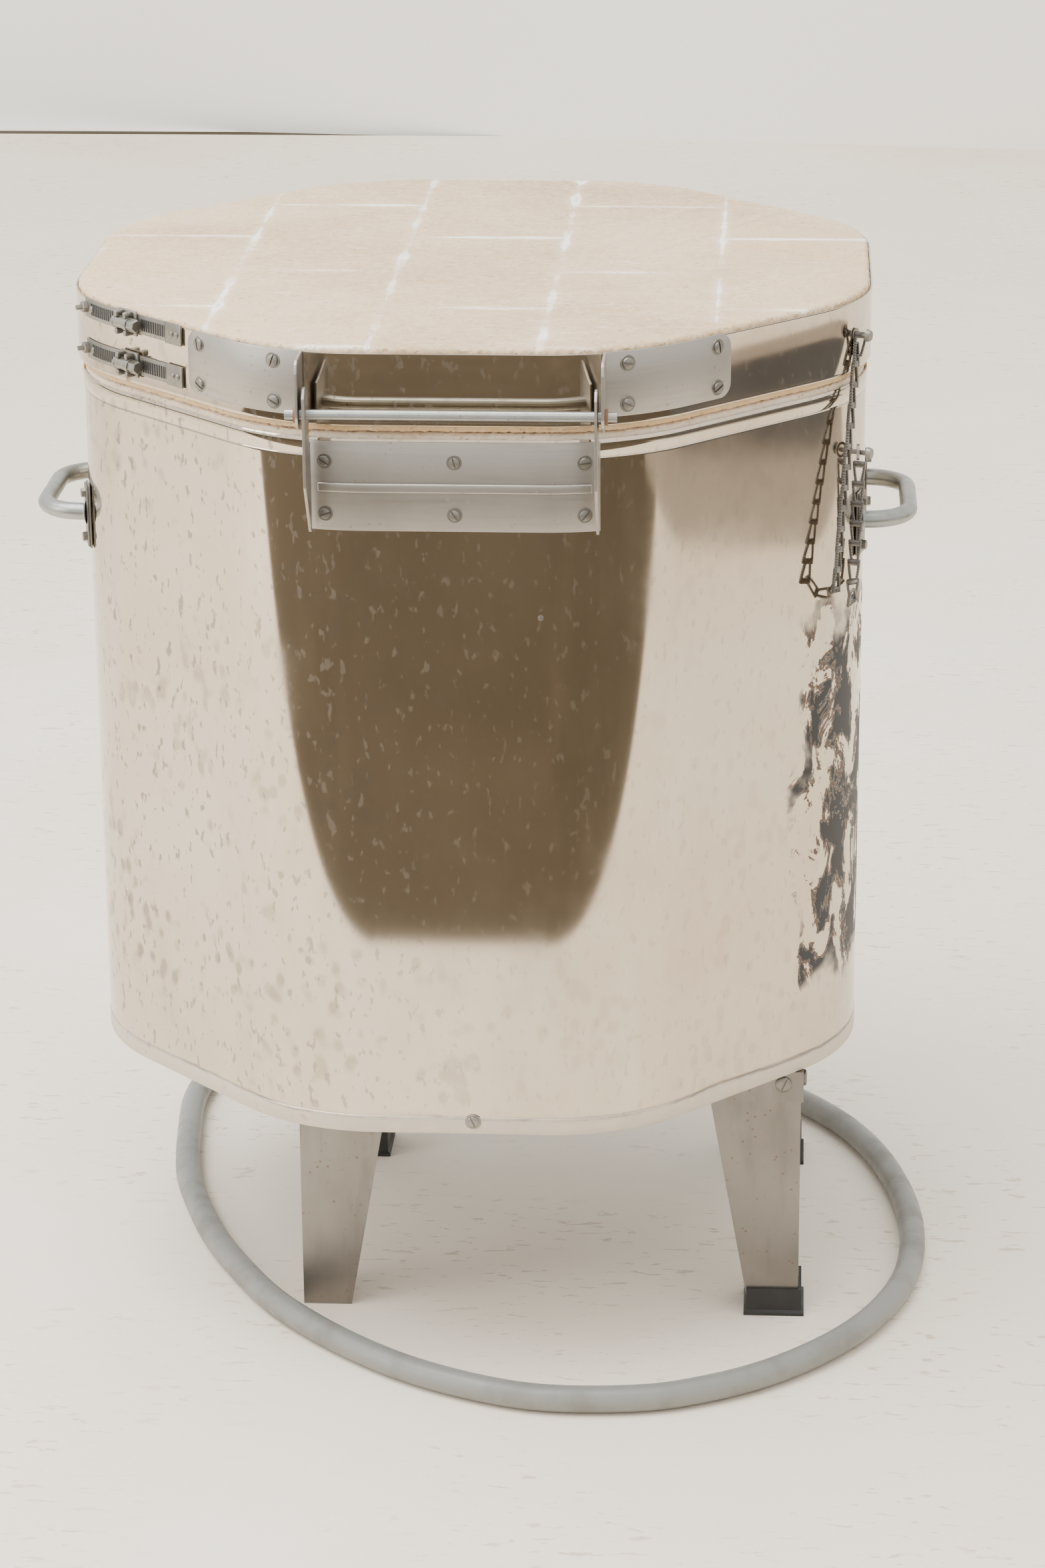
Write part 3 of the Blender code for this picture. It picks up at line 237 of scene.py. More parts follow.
# ------------------------------------------------------------------ plug and cable gland
# A moulded black plug with brass pins, and the gland that grips the cable under the box.
# These keep their CAD shapes and only need their finish.
def metal(name, colour, dark, roughness, grain=(1.0, 1.0, 1.0), spots=0.0, scale=90.0,
          metallic=1.0):
    """Worn metal: cloudy patches, fine grain that can run one way, and rust spots if asked."""
    made = Paint(name, colour, roughness, metallic)
    cloud = made.fit(made.noise(14.0, 5.0), 0.38, 0.70)
    lines = made.noise(scale, 3.0, 0.6, made.stretch(*grain))
    tone = made.mix(made.math("MULTIPLY", cloud, 0.45), colour, dark)
    tone = made.mix(made.fit(lines, 0.45, 0.75, 0.0, 0.3), tone, dark)
    if spots:
        spot = made.fit(made.cells(190.0), 0.10, 0.24, 1.0, 0.0)
        spot = made.math("MULTIPLY", spot, made.fit(made.noise(45.0, 2.0), 0.52, 0.60))
        tone = made.mix(made.math("MULTIPLY", spot, spots), tone, (0.15, 0.08, 0.04))
        bare = made.math("MULTIPLY_ADD", spot, -0.8 * metallic, metallic)
        made.put(made.shader, {"Metallic": bare})
    made.colour(tone)
    made.put(made.shader, {"Roughness": made.math("MULTIPLY_ADD", lines, 0.22, roughness - 0.1)})
    made.bump(lines, 0.12, 0.0003)
    return made


def finish(node, paint):
    """Give a CAD piece its material, and hand it back."""
    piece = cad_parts[node]
    piece.data.materials.clear()
    piece.data.materials.append(paint.material)
    return piece


plastic = matt("black_plastic", (0.022, 0.022, 0.023), (0.08, 0.08, 0.08), 0.38)
brass = metal("plug_brass", (0.72, 0.55, 0.26), (0.42, 0.30, 0.13), 0.30)
finish("cable_gland", plastic)
finish("plug_body", plastic)
finish("plug_pins", brass)


# ------------------------------------------------------------------ jacket
# Polished stainless sheet, bent to an octagon with round corners, with a hem folded at its foot
# and a doubled edge at its top. Drops, drips and kiln dust have dried on it.
CORNER_R = 0.135
JACKET_HALF = 0.281
OCTANT = math.pi / 4


def skin(half, run, out=0.0, corner_r=CORNER_R):
    """A point `run` along the skin from the near facet's middle, `out` from it, and its normal."""
    flat = (half - corner_r) * math.tan(OCTANT / 2)
    pitch = 2 * flat + corner_r * OCTANT
    facet = round(run / pitch)
    rest = run - facet * pitch
    along = max(-flat, min(flat, rest))
    facing = -math.pi / 2 + facet * OCTANT
    normal = facing + (rest - along) / corner_r
    x = (half - corner_r) * math.cos(facing) - along * math.sin(facing)
    y = (half - corner_r) * math.sin(facing) + along * math.cos(facing)
    reach = corner_r + out
    return Vector((x + reach * math.cos(normal), y + reach * math.sin(normal), 0.0)), normal


def make(name, bm, paint, body, angle=32.0):
    """Finish a mesh drawn from the kiln's axis, and let it ride on a body."""
    bmesh.ops.remove_doubles(bm, verts=bm.verts, dist=0.000002)
    bmesh.ops.recalc_face_normals(bm, faces=bm.faces)
    bmesh.ops.translate(bm, verts=bm.verts, vec=AXIS)
    mesh = bpy.data.meshes.new(name)
    bm.to_mesh(mesh)
    bm.free()
    mesh.materials.append(paint.material)
    mesh.shade_smooth()
    mesh.set_sharp_from_angle(angle=math.radians(angle))
    made = bpy.data.objects.new(name, mesh)
    bpy.context.scene.collection.objects.link(made)
    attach(made, body)
    return made


def wrap(half, profile, steps=22, corner_r=CORNER_R, flats=1):
    """A ring round the octagon: an edge loop for each (out, height), extruded to the next."""
    flat = (half - corner_r) * math.tan(OCTANT / 2)
    pitch = 2 * flat + corner_r * OCTANT
    corner = [corner_r * OCTANT * step / steps for step in range(steps + 1)]
    straight = [corner[-1] + 2 * flat * step / flats for step in range(1, flats)]
    runs = [facet * pitch + flat + step for facet in range(8) for step in corner + straight]
    bm = bmesh.new()
    made = bmesh.ops.create_circle(bm, cap_ends=False, radius=half, segments=len(runs))
    verts = made["verts"]
    edges = bm.edges[:]
    for index, (out, height) in enumerate(profile):
        if index:
            grown = bmesh.ops.extrude_edge_only(bm, edges=edges)["geom"]
            fresh = [item for item in grown if isinstance(item, bmesh.types.BMVert)]
            order = {v: i for i, v in enumerate(verts)}
            follow = {}
            for vert in fresh:
                ends = [edge.other_vert(vert) for edge in vert.link_edges]
                follow[next(order[end] for end in ends if end in order)] = vert
            verts = [follow[i] for i in range(len(verts))]
            edges = [bm.edges.get((a, b)) for a, b in zip(verts, verts[1:] + verts[:1])]
        for vert, run in zip(verts, runs):
            at, _ = skin(half, run, out)
            vert.co = Vector((at.x, at.y, height))
    return bm


BRIGHT = (0.60, 0.525, 0.425)
steel = Paint("polished_stainless", BRIGHT, 0.1, 1.0)
# dried drops and specks, thicker to the left and low down, and painted dark vertical reflections to
# the right
film = steel.fit(steel.noise(7.0, 6.0, 0.6), 0.42, 0.72)
drop = steel.cells(92.0, steel.stretch(1.0, 1.0, 0.70), feature="SMOOTH_F1")
drop = steel.fit(drop, 0.20, 0.42, 1.0, 0.0)
sparse = steel.fit(steel.noise(11.0, 4.0, 0.65), 0.46, 0.58)
left = steel.fit(steel.x, -0.27, 0.10, 1.0, 0.25)
low = steel.fit(steel.z, 0.25, 0.62, 1.0, 0.5)
drops = steel.times(drop, sparse, left, low)
specks = steel.fit(steel.noise(190.0, 2.0, 0.5, steel.stretch(1.0, 1.0, 0.5)), 0.60, 0.69)
specks = steel.times(specks, left)
# painted reflections: dark vertical lines on the right facet, as of things mirrored in the steel
painted_reflection_lines = steel.fit(steel.noise(30.0, 5.0, 0.6, steel.stretch(1.0, 1.0, 0.04)), 0.60, 0.78)
painted_reflection_lines = steel.times(painted_reflection_lines, steel.fit(steel.x, 0.0, 0.26))
# the hem is dusty below an uneven crease, darkened with painted shade
wave = steel.times(steel.math("SUBTRACT", steel.noise(16.0, 3.0), 0.5), 0.012)
hem_z = steel.math("ADD", steel.z, wave)
hem = steel.fit(hem_z, 0.205, 0.214, 1.0, 0.0)
dust = steel.times(hem, steel.fit(steel.noise(60.0, 5.0), 0.3, 0.6, 0.35, 1.0))
# painted shade: a dark, uneven line along the hem's crease
crease_shade = steel.window(hem_z, 0.2085, 0.2105, 0.0012)
crease_shade = steel.times(crease_shade, steel.fit(steel.noise(12.0, 3.0), 0.40, 0.58))
haze = steel.fit(steel.z, 0.22, 0.36, 1.0, 0.0)
grime = steel.fit(steel.noise(5.0, 6.0, 0.65, steel.stretch(1.0, 1.0, 0.6)), 0.42, 0.70, 0.0, 0.45)
# black paint has torn away from the right front corner, down to rust and bare steel
torn = steel.noise(34.0, 8.0, 0.66, steel.stretch(1.0, 1.0, 0.6), 0.6)
edge = steel.noise(22.0, 3.0)
patch = steel.window(steel.math("MULTIPLY_ADD", edge, 0.05, steel.x), 0.262, 0.32, 0.004)
tall = steel.window(steel.math("MULTIPLY_ADD", edge, 0.09, steel.z), 0.31, 0.585, 0.01)
patch = steel.times(patch, tall, steel.fit(steel.y, -0.08, -0.07, 1.0, 0.0))
black = steel.times(patch, steel.fit(torn, 0.515, 0.53))
brown = steel.times(patch, steel.window(torn, 0.485, 0.52, 0.004))
tint = BRIGHT
for amount, strength, colour in ((drops, 0.85, (0.25, 0.21, 0.16)),
                                 (specks, 0.7, (0.16, 0.13, 0.10)),
                                 (grime, 1.0, (0.45, 0.37, 0.28)),
                                 (painted_reflection_lines, 0.25, (0.36, 0.31, 0.25)),
                                 (dust, 1.0, (0.56, 0.49, 0.40)),
                                 (crease_shade, 0.7, (0.13, 0.10, 0.08)),
                                 (brown, 1.0, (0.10, 0.055, 0.035)),
                                 (black, 1.0, (0.02, 0.02, 0.021))):
    tint = steel.mix(steel.times(amount, strength), tint, colour)
steel.colour(tint)
# paint, rust and dust hide the metal, and the film and the hem's haze dull it
covered = steel.math("MAXIMUM", steel.math("MAXIMUM", black, brown), steel.times(dust, 0.85))
dulled = steel.math("MAXIMUM", steel.times(drops, 0.08), steel.times(specks, 0.3))
bare = steel.math("SUBTRACT", 1.0, steel.math("MAXIMUM", covered, dulled))
gloss = steel.math("MULTIPLY_ADD", film, 0.07, 0.06)
gloss = steel.math("MULTIPLY_ADD", haze, 0.06, gloss)
steel.put(steel.shader, {"Metallic": bare, "Roughness": steel.blend(covered, gloss, 0.6)})
steel.bump(steel.noise(2.2, 0.0), 0.05, 0.012)
steel.bump(steel.times(steel.math("ADD", black, torn), patch), 0.35, 0.0006)

SHEET_BACK = -0.0010
jacket_profile = [(SHEET_BACK, 0.1974), (-0.0002, 0.1970), (0.0004, 0.1978), (0.0005, 0.2080),
                  (0.0002, 0.2094), (-0.0003, 0.2098), (0.0, 0.2106), (0.0, 0.2118),
                  (0.0, 0.3300), (0.0, 0.5700), (0.0, 0.6900), (0.0, 0.6912),
                  (-0.0002, 0.6918), (0.0004, 0.6926), (0.0005, 0.7030), (0.0001, 0.7040),
                  (SHEET_BACK, 0.7038), (SHEET_BACK, 0.1974)]
jacket = make("jacket_sheet", wrap(JACKET_HALF, jacket_profile), steel, "kiln_body", 50.0)
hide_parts("jacket")


# ------------------------------------------------------------------ lid band
# A strap of the same sheet round the lid, with its edges turned a little inwards. The two screw
# clamps pull it tight on the brick.
BAND_HALF = 0.2838
band_profile = [(SHEET_BACK, 0.7142), (0.0, 0.7140), (0.0002, 0.7146), (0.0, 0.7158),
                (0.0, 0.7622), (0.0002, 0.7630), (0.0, 0.7634), (SHEET_BACK, 0.7632),
                (SHEET_BACK, 0.7142)]
band = make("lid_band_sheet", wrap(BAND_HALF, band_profile), steel, "lid", 50.0)
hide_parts("lid_band")


# ------------------------------------------------------------------ brick lid and rim
# Insulating firebrick, soft enough to crumble where it shows past the steel. The lid is made of
# bricks cemented in columns, each shifted by half a brick against the next.
BRICK_L, BRICK_W = 0.229, 0.1155
JOINT_X = 0.0601             # one joint between two columns
ROW_START = 0.048 - AXIS.y


def firebrick(name, lid):
    """Insulating firebrick; the lid's has cement joints, stains and scratches as well."""
    brick = Paint(name, (0.72, 0.62, 0.47), 0.95)
    broad = brick.noise(6.0, 5.0, 0.6)
    fine = brick.noise(170.0, 4.0, 0.7)
    shaded_pores = brick.fit(brick.cells(230.0), 0.10, 0.30, 1.0, 0.0)
    shaded_pores = brick.math("MULTIPLY", shaded_pores, brick.fit(brick.noise(120.0, 2.0), 0.44, 0.56))
    grit = brick.fit(brick.cells(100.0, brick.stretch(0.6, 1.0, 1.0)), 0.08, 0.18, 1.0, 0.0)
    grit = brick.math("MULTIPLY", grit, brick.fit(brick.noise(40.0, 2.0), 0.50, 0.60))
    tone = brick.mix(brick.fit(broad, 0.35, 0.68), (0.68, 0.51, 0.33), (0.55, 0.39, 0.23))
    tone = brick.mix(brick.fit(fine, 0.40, 0.70, 0.0, 0.5), tone, (0.78, 0.64, 0.46))
    height = fine
    if lid:
        stain = brick.fit(brick.noise(3.3, 3.0, 0.5, None, 0.8), 0.50, 0.68, 0.0, 0.50)
        tone = brick.mix(stain, tone, (0.72, 0.52, 0.28))
        column = brick.math("DIVIDE", brick.math("SUBTRACT", brick.x, JOINT_X), BRICK_W)
        index = brick.math("FLOOR", column)
        odd = brick.math("MODULO", brick.math("ADD", index, 4.0), 2.0)
        row = brick.math("ADD", brick.y, ROW_START)
        row = brick.math("SUBTRACT", row, brick.math("MULTIPLY", odd, BRICK_L / 2))
        row = brick.math("DIVIDE", row, BRICK_L)
        waver = brick.math("MULTIPLY", brick.math("SUBTRACT", brick.noise(24.0, 3.0), 0.5), 0.012)
        gap_a = brick.math("ABSOLUTE", brick.math("SUBTRACT", column, brick.math("ROUND", column)))
        gap_b = brick.math("ABSOLUTE", brick.math("SUBTRACT", row, brick.math("ROUND", row)))
        gap_a = brick.math("ADD", brick.math("MULTIPLY", gap_a, BRICK_W), waver)
        gap_b = brick.math("ADD", brick.math("MULTIPLY", gap_b, BRICK_L), waver)
        near = brick.math("MINIMUM", brick.math("ABSOLUTE", gap_a), brick.math("ABSOLUTE", gap_b))
        line = brick.fit(near, 0.0008, 0.0030, 1.0, 0.0)
        halo = brick.fit(near, 0.001, 0.009, 0.35, 0.0)
        worn = brick.fit(brick.noise(11.0, 3.0), 0.42, 0.62, 0.08, 0.9)
        above = brick.fit(brick.z, 0.764, 0.766)
        tone = brick.mix(brick.math("MULTIPLY", halo, worn), tone, (0.86, 0.78, 0.64))
        line = brick.math("MULTIPLY", brick.math("MULTIPLY", line, worn), above)
        tone = brick.mix(line, tone, (0.97, 0.95, 0.90))
        scratch = brick.noise(16.0, 2.0, 0.5, brick.stretch(0.5, 3.2, 1.0), 1.4)
        scratch = brick.window(scratch, 0.497, 0.503, 0.002)
        tone = brick.mix(brick.math("MULTIPLY", scratch, 0.4), tone, (0.92, 0.88, 0.80))
        height = brick.math("SUBTRACT", fine, brick.math("MULTIPLY", line, 0.6))
    rim = brick.window(brick.z, 0.695, 0.722, 0.004)
    scorch = brick.fit(brick.noise(28.0, 4.0), 0.30, 0.65, 0.35, 1.0)
    burnt = (0.60, 0.40, 0.20) if lid else (0.84, 0.74, 0.60)
    tone = brick.mix(brick.math("MULTIPLY", rim, scorch), tone, burnt)
    # painted shade in the pores darkens them, besides their bump
    tone = brick.mix(brick.math("MULTIPLY", shaded_pores, 0.6), tone, (0.40, 0.28, 0.17))
    tone = brick.mix(brick.math("MULTIPLY", grit, 0.6), tone, (0.36, 0.20, 0.09))
    brick.colour(tone)
    brick.bump(height, 0.5, 0.0016)
    brick.bump(brick.math("SUBTRACT", 1.0, shaded_pores), 0.6, 0.0007)
    return brick


def crumble(bm, low, high, amount, seed):
    """Wear away the outer vertices between two heights unevenly."""
    shake = random.Random(seed)
    for vert in bm.verts:
        if low <= vert.co.z <= high:
            vert.co.z += shake.uniform(-amount, amount) * 0.5
            inward = shake.uniform(0.0, amount)
            vert.co.x -= inward * vert.co.x / 0.28
            vert.co.y -= inward * vert.co.y / 0.28


lid_brick = firebrick("lid_firebrick", True)
wall_brick = firebrick("wall_firebrick", False)
BRICK_CORNER_R, BRICK_STEPS = 0.1337, 64
LID_TOP = 0.7667
slab_mesh = wrap(0.2825, [(-0.0030, 0.7092), (-0.0008, 0.7098), (0.0, 0.7116), (0.0, 0.7148),
                          (0.0, 0.7636), (-0.0003, 0.7652), (-0.0016, 0.7664),
                          (-0.0036, LID_TOP)], BRICK_STEPS, BRICK_CORNER_R, 70)
crumble(slab_mesh, 0.7091, 0.7150, 0.0010, 1)
crumble(slab_mesh, 0.7635, LID_TOP, 0.0011, 2)
for upper in (False, True):
    rim = [e for e in slab_mesh.edges if len(e.link_faces) == 1
           and (e.verts[0].co.z > 0.74) == upper]
    bmesh.ops.contextual_create(slab_mesh, geom=rim)
lid_slab = make("lid_firebricks", slab_mesh, lid_brick, "lid", 60.0)
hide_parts("lid_slab")

# the wall's top course, with its flat seat for the lid and the groove for an element
INNER = -0.064
rim_mesh = wrap(0.2797, [(INNER, 0.5955), (0.0, 0.5955), (0.0, 0.7035), (0.0, 0.7055),
                         (-0.0010, 0.7072), (-0.0032, 0.7080), (-0.0150, 0.7080),
                         (-0.0620, 0.7080), (INNER, 0.7068), (INNER, 0.6330),
                         (-0.050, 0.6300), (-0.050, 0.6170), (INNER, 0.6155), (INNER, 0.5955)],
                BRICK_STEPS, BRICK_CORNER_R, 70)
crumble(rim_mesh, 0.7034, 0.7081, 0.0010, 3)
rim_course = make("rim_course", rim_mesh, wall_brick, "kiln_body", 50.0)
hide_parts("brick_course_4")


# ------------------------------------------------------------------ inside of the kiln
# The lower courses and the floor are of the same brick as the rim, and a dark resistance wire
# lies in each course's groove.
for node in ("floor_slab", "brick_course_1", "brick_course_2", "brick_course_3"):
    finish(node, wall_brick)
wire = metal("element_wire", (0.17, 0.16, 0.15), (0.08, 0.07, 0.06), 0.6, scale=200.0,
             metallic=0.7)
for number in range(1, 5):
    finish(f"heating_element_{number}", wire)


# ------------------------------------------------------------------ hinge bracket on the jacket
# A pressed plate with a raised bead, held by six slotted screws, with an ear folded out at each
# end. The rod can rise in the ears' slots as the lid settles.
def slice_x(bm, low, high, cuts):
    """Cut a mesh at even steps along X."""
    for step in range(1, cuts):
        geometry = bm.verts[:] + bm.edges[:] + bm.faces[:]
        at = low + (high - low) * step / cuts
        bmesh.ops.bisect_plane(bm, geom=geometry, plane_co=(at, 0, 0), plane_no=(1, 0, 0))


def slab(low, high, bevel=0.0, segments=2, cuts=0):
    """A block between two corners, with rounded edges, cut across X so that it can bend."""
    bm = bmesh.new()
    bmesh.ops.create_cube(bm, size=1.0)
    low, high = Vector(low), Vector(high)
    bmesh.ops.scale(bm, verts=bm.verts, vec=high - low)
    bmesh.ops.translate(bm, verts=bm.verts, vec=(low + high) / 2)
    if bevel:
        bmesh.ops.bevel(bm, geom=bm.edges[:], offset=bevel, segments=segments, affect="EDGES",
                        profile=0.5, material=-1)
    slice_x(bm, low.x, high.x, cuts)
    return bm


def bend(bm, half):
    """Wrap a flat shape round the skin: X runs along it, Y stands out of it."""
    for vert in bm.verts:
        at, _ = skin(half, vert.co.x, vert.co.y)
        vert.co = Vector((at.x, at.y, vert.co.z))
    return bm


def turned(profile, sides=32):
    """A turned shape about Z from (radius, height) points."""
    bm = bmesh.new()
    verts = [bm.verts.new((radius, 0, height)) for radius, height in profile]
    edges = [bm.edges.new(pair) for pair in zip(verts, verts[1:])]
    bmesh.ops.spin(bm, geom=verts + edges, cent=(0, 0, 0), axis=(0, 0, 1), angle=2 * math.pi,
                   steps=sides, use_merge=True)
    bmesh.ops.remove_doubles(bm, verts=bm.verts, dist=0.000002)
    return bm


def outline(points, thickness, bevel=0.0003):
    """A flat sheet in XY cut to an outline, extruded along Z and eased at its edges."""
    bm = bmesh.new()
    face = bm.faces.new([bm.verts.new((x, y, 0)) for x, y in points])
    grown = bmesh.ops.extrude_face_region(bm, geom=[face])["geom"]
    bmesh.ops.translate(bm, verts=[v for v in grown if isinstance(v, bmesh.types.BMVert)],
                        vec=(0, 0, thickness))
    if bevel:
        bmesh.ops.bevel(bm, geom=bm.edges[:], offset=bevel, segments=2, affect="EDGES", profile=0.5,
                        material=-1)
    return bm


def ear_sheet(points, x):
    """A folded ear: a sheet cut to a (y, z) outline that stands across X, from x on."""
    bm = outline(points, 0.002, 0.0004)
    across = Matrix(((0, 0, 1, x), (1, 0, 0, 0), (0, 1, 0, 0), (0, 0, 0, 1)))
    bmesh.ops.transform(bm, matrix=across, verts=bm.verts)
    return bm


def gather(target, source, matrix=None):
    """Copy one mesh into another, placed by a matrix."""
    mesh = bpy.data.meshes.new("passing")
    source.to_mesh(mesh)
    if matrix is not None:
        mesh.transform(matrix)
    target.from_mesh(mesh)
    bpy.data.meshes.remove(mesh)


def aim(at, way, side=None):
    """A matrix that stands +Z along `way` at `at`, with +X towards `side` if it is given."""
    way = Vector(way).normalized()
    if side is None:
        turn_up = Vector((0, 0, 1)).rotation_difference(way)
        return Matrix.Translation(at) @ turn_up.to_matrix().to_4x4()
    side = (Vector(side) - way * Vector(side).dot(way)).normalized()
    frame_3 = Matrix((side, way.cross(side), way)).transposed()
    return Matrix.Translation(at) @ frame_3.to_4x4()


def slotted_head(radius, height):
    """A slotted screw head that stands on XY, domed a little."""
    bm = turned([(0, 0), (radius, 0), (radius, height * 0.55), (radius * 0.9, height * 0.82),
                 (radius * 0.55, height * 0.97), (0, height)], 24)
    half_slot = radius * 0.13
    for sign in (-1, 1):
        geometry = bm.verts[:] + bm.edges[:] + bm.faces[:]
        bmesh.ops.bisect_plane(bm, geom=geometry, plane_co=(sign * half_slot, 0, 0),
                               plane_no=(1, 0, 0))
    for vert in bm.verts:
        if abs(vert.co.x) < half_slot * 0.9 and vert.co.z > height * 0.5:
            vert.co.z = height * 0.42
    strip = [f for f in bm.faces if abs(f.calc_center_median().x) < half_slot
             and f.calc_center_median().z > height * 0.4]
    grown = bmesh.ops.extrude_face_region(bm, geom=strip)["geom"]
    bmesh.ops.delete(bm, geom=strip, context="FACES_ONLY")
    for item in grown:
        if isinstance(item, bmesh.types.BMVert):
            item.co.z = height * 0.4
    return bm


def screws(name, places, radius, height, body, half, out):
    """Slotted screws on the skin at (run, height above the floor, slot's turn in degrees)."""
    bm = bmesh.new()
    head = slotted_head(radius, height)
    washer = turned([(0, 0), (radius * 1.35, 0), (radius * 1.3, 0.0004), (0, 0.0004)], 24)
    for run, z, slot in places:
        at, normal = skin(half, run, out)
        way = Vector((math.cos(normal), math.sin(normal), 0))
        spin = Matrix.Rotation(math.radians(slot), 4, "Z")
        stand = aim(at + Vector((0, 0, z)), way, (-way.y, way.x, 0)) @ spin
        gather(bm, washer, stand)
        gather(bm, head, stand)
    return make(name, bm, screw_metal, body, 40.0)


HINGE_X = 0.002              # the hinge sits this much right of the facet's middle
EAR_SPAN = 0.097             # from there to the middle of each ear
plate_metal = metal("satin_plate", (0.42, 0.395, 0.36), (0.30, 0.275, 0.24), 0.42,
                    (0.15, 0.15, 3.0), 0.5)
screw_metal = metal("screw_steel", (0.30, 0.285, 0.255), (0.12, 0.11, 0.09), 0.42, scale=400.0)
bracket = bend(slab((-0.0965, 0.0003, 0.6405), (0.1005, 0.0018, 0.7025), 0.0004, 2, 24),
               JACKET_HALF)
gather(bracket, bend(slab((-0.0900, 0.0010, 0.6671), (0.0950, 0.0034, 0.6739), 0.0014, 4, 24),
                     JACKET_HALF))
ear = [(-0.2830, 0.6405), (-0.2865, 0.6405), (-0.3120, 0.6775), (-0.3130, 0.7390),
       (-0.3085, 0.7448), (-0.3045, 0.7455), (-0.3000, 0.7440), (-0.2895, 0.7390),
       (-0.2885, 0.7025), (-0.2830, 0.7025)]
for side in (-1, 1):
    gather(bracket, ear_sheet(ear, HINGE_X + side * EAR_SPAN - 0.001))
bracket = make("hinge_bracket_plate", bracket, plate_metal, "kiln_body")
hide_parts("hinge_bracket")
screws("bracket_screws", [(-0.085, 0.6885, 60), (0.0025, 0.6885, 15), (0.090, 0.6885, 95),
                          (-0.085, 0.6520, 110), (0.0025, 0.6520, 35), (0.090, 0.6520, 140)],
       0.0039, 0.0021, "kiln_body", JACKET_HALF, 0.0018)
screws("hem_screw", [(0.010, 0.2065, 25)], 0.0042, 0.0018, "kiln_body", JACKET_HALF, 0.0005)
screws("jacket_rivets", [(0.060, 0.5800, 0)], 0.0016, 0.0008, "kiln_body", JACKET_HALF, 0.0)


# ------------------------------------------------------------------ hinge rod and its washers
# A galvanised rod through all four ears, with a rusty washer at each end. The CAD rod and
# washers stay as they are.
zinc = metal("galvanised_steel", (0.36, 0.37, 0.355), (0.20, 0.21, 0.20), 0.38, spots=0.7)
rust = metal("rusty_washer", (0.30, 0.15, 0.08), (0.12, 0.06, 0.035), 0.85, scale=260.0,
             metallic=0.2)
finish("hinge_rod", zinc)
finish("left_rod_washer", rust)
finish("right_rod_washer", rust)


# ------------------------------------------------------------------ hinge plates on the lid
# Plates with rounded outer ends, bent round the lid's corners on the band. Each has an ear
# folded out at its inner end and four slotted screws.
def arc(x, y, radius, first, last, steps=6):
    """Points on an arc about (x, y), between two angles in degrees."""
    angles = [math.radians(first + (last - first) * i / steps) for i in range(steps + 1)]
    return [(x + radius * math.cos(a), y + radius * math.sin(a)) for a in angles]


PLATE_LOW, PLATE_TOP, PLATE_R = 0.7197, 0.7642, 0.010
PLATE_RUN = 0.105
onto_skin = Matrix(((1, 0, 0, 0), (0, 0, 1, 0.0003), (0, 1, 0, 0), (0, 0, 0, 1)))
lid_ear = [(-0.2800, 0.7157), (-0.2950, 0.7150), (-0.3050, 0.7160), (-0.3105, 0.7200),
           (-0.3130, 0.7260), (-0.3130, 0.7560), (-0.3110, 0.7620), (-0.3070, PLATE_TOP),
           (-0.2800, PLATE_TOP)]
for side, word, first, second in ((-1, "left", 0.1201, 0.1908), (1, "right", 0.1196, 0.1950)):
    # each plate is drawn on the right, and the left one is mirrored at the end
    start = 0.1005 + HINGE_X * side
    end = start + PLATE_RUN
    shape = [(start, PLATE_LOW)]
    shape += arc(end - PLATE_R, PLATE_LOW + PLATE_R, PLATE_R, -90, 0)
    shape += arc(end - PLATE_R, PLATE_TOP - PLATE_R, PLATE_R, 0, 90)
    shape += [(start, PLATE_TOP)]
    plate = outline(shape, 0.0015, 0.0004)
    slice_x(plate, start, end, 26)
    bmesh.ops.transform(plate, matrix=onto_skin, verts=plate.verts)
    bend(plate, BAND_HALF)
    gather(plate, ear_sheet(lid_ear, start))
    bmesh.ops.scale(plate, verts=plate.verts, vec=(side, 1, 1))
    plate = make(f"{word}_lid_plate", plate, plate_metal, "lid")
    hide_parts(f"{word}_lid_hinge_plate")
    screws(f"{word}_plate_screws",
           [(side * first, 0.7557, 30 + 50 * side), (side * second, 0.7557, 10),
            (side * first, 0.7277, 65), (side * second, 0.7277, 120 * side)],
           0.0041, 0.0021, "lid", BAND_HALF, 0.0018)


# ------------------------------------------------------------------ screw clamps on the band
# Two worm clamps join the band's ends. Each has a slotted strap, a folded housing with ribbed
# cheeks, and a hex-headed worm screw that draws the strap through it.
# a near-black matt for dark strips of painted shade in slots and vents
shadow = matt("painted_recess_shade", (0.015, 0.014, 0.013), (0.03, 0.03, 0.03), 0.7)


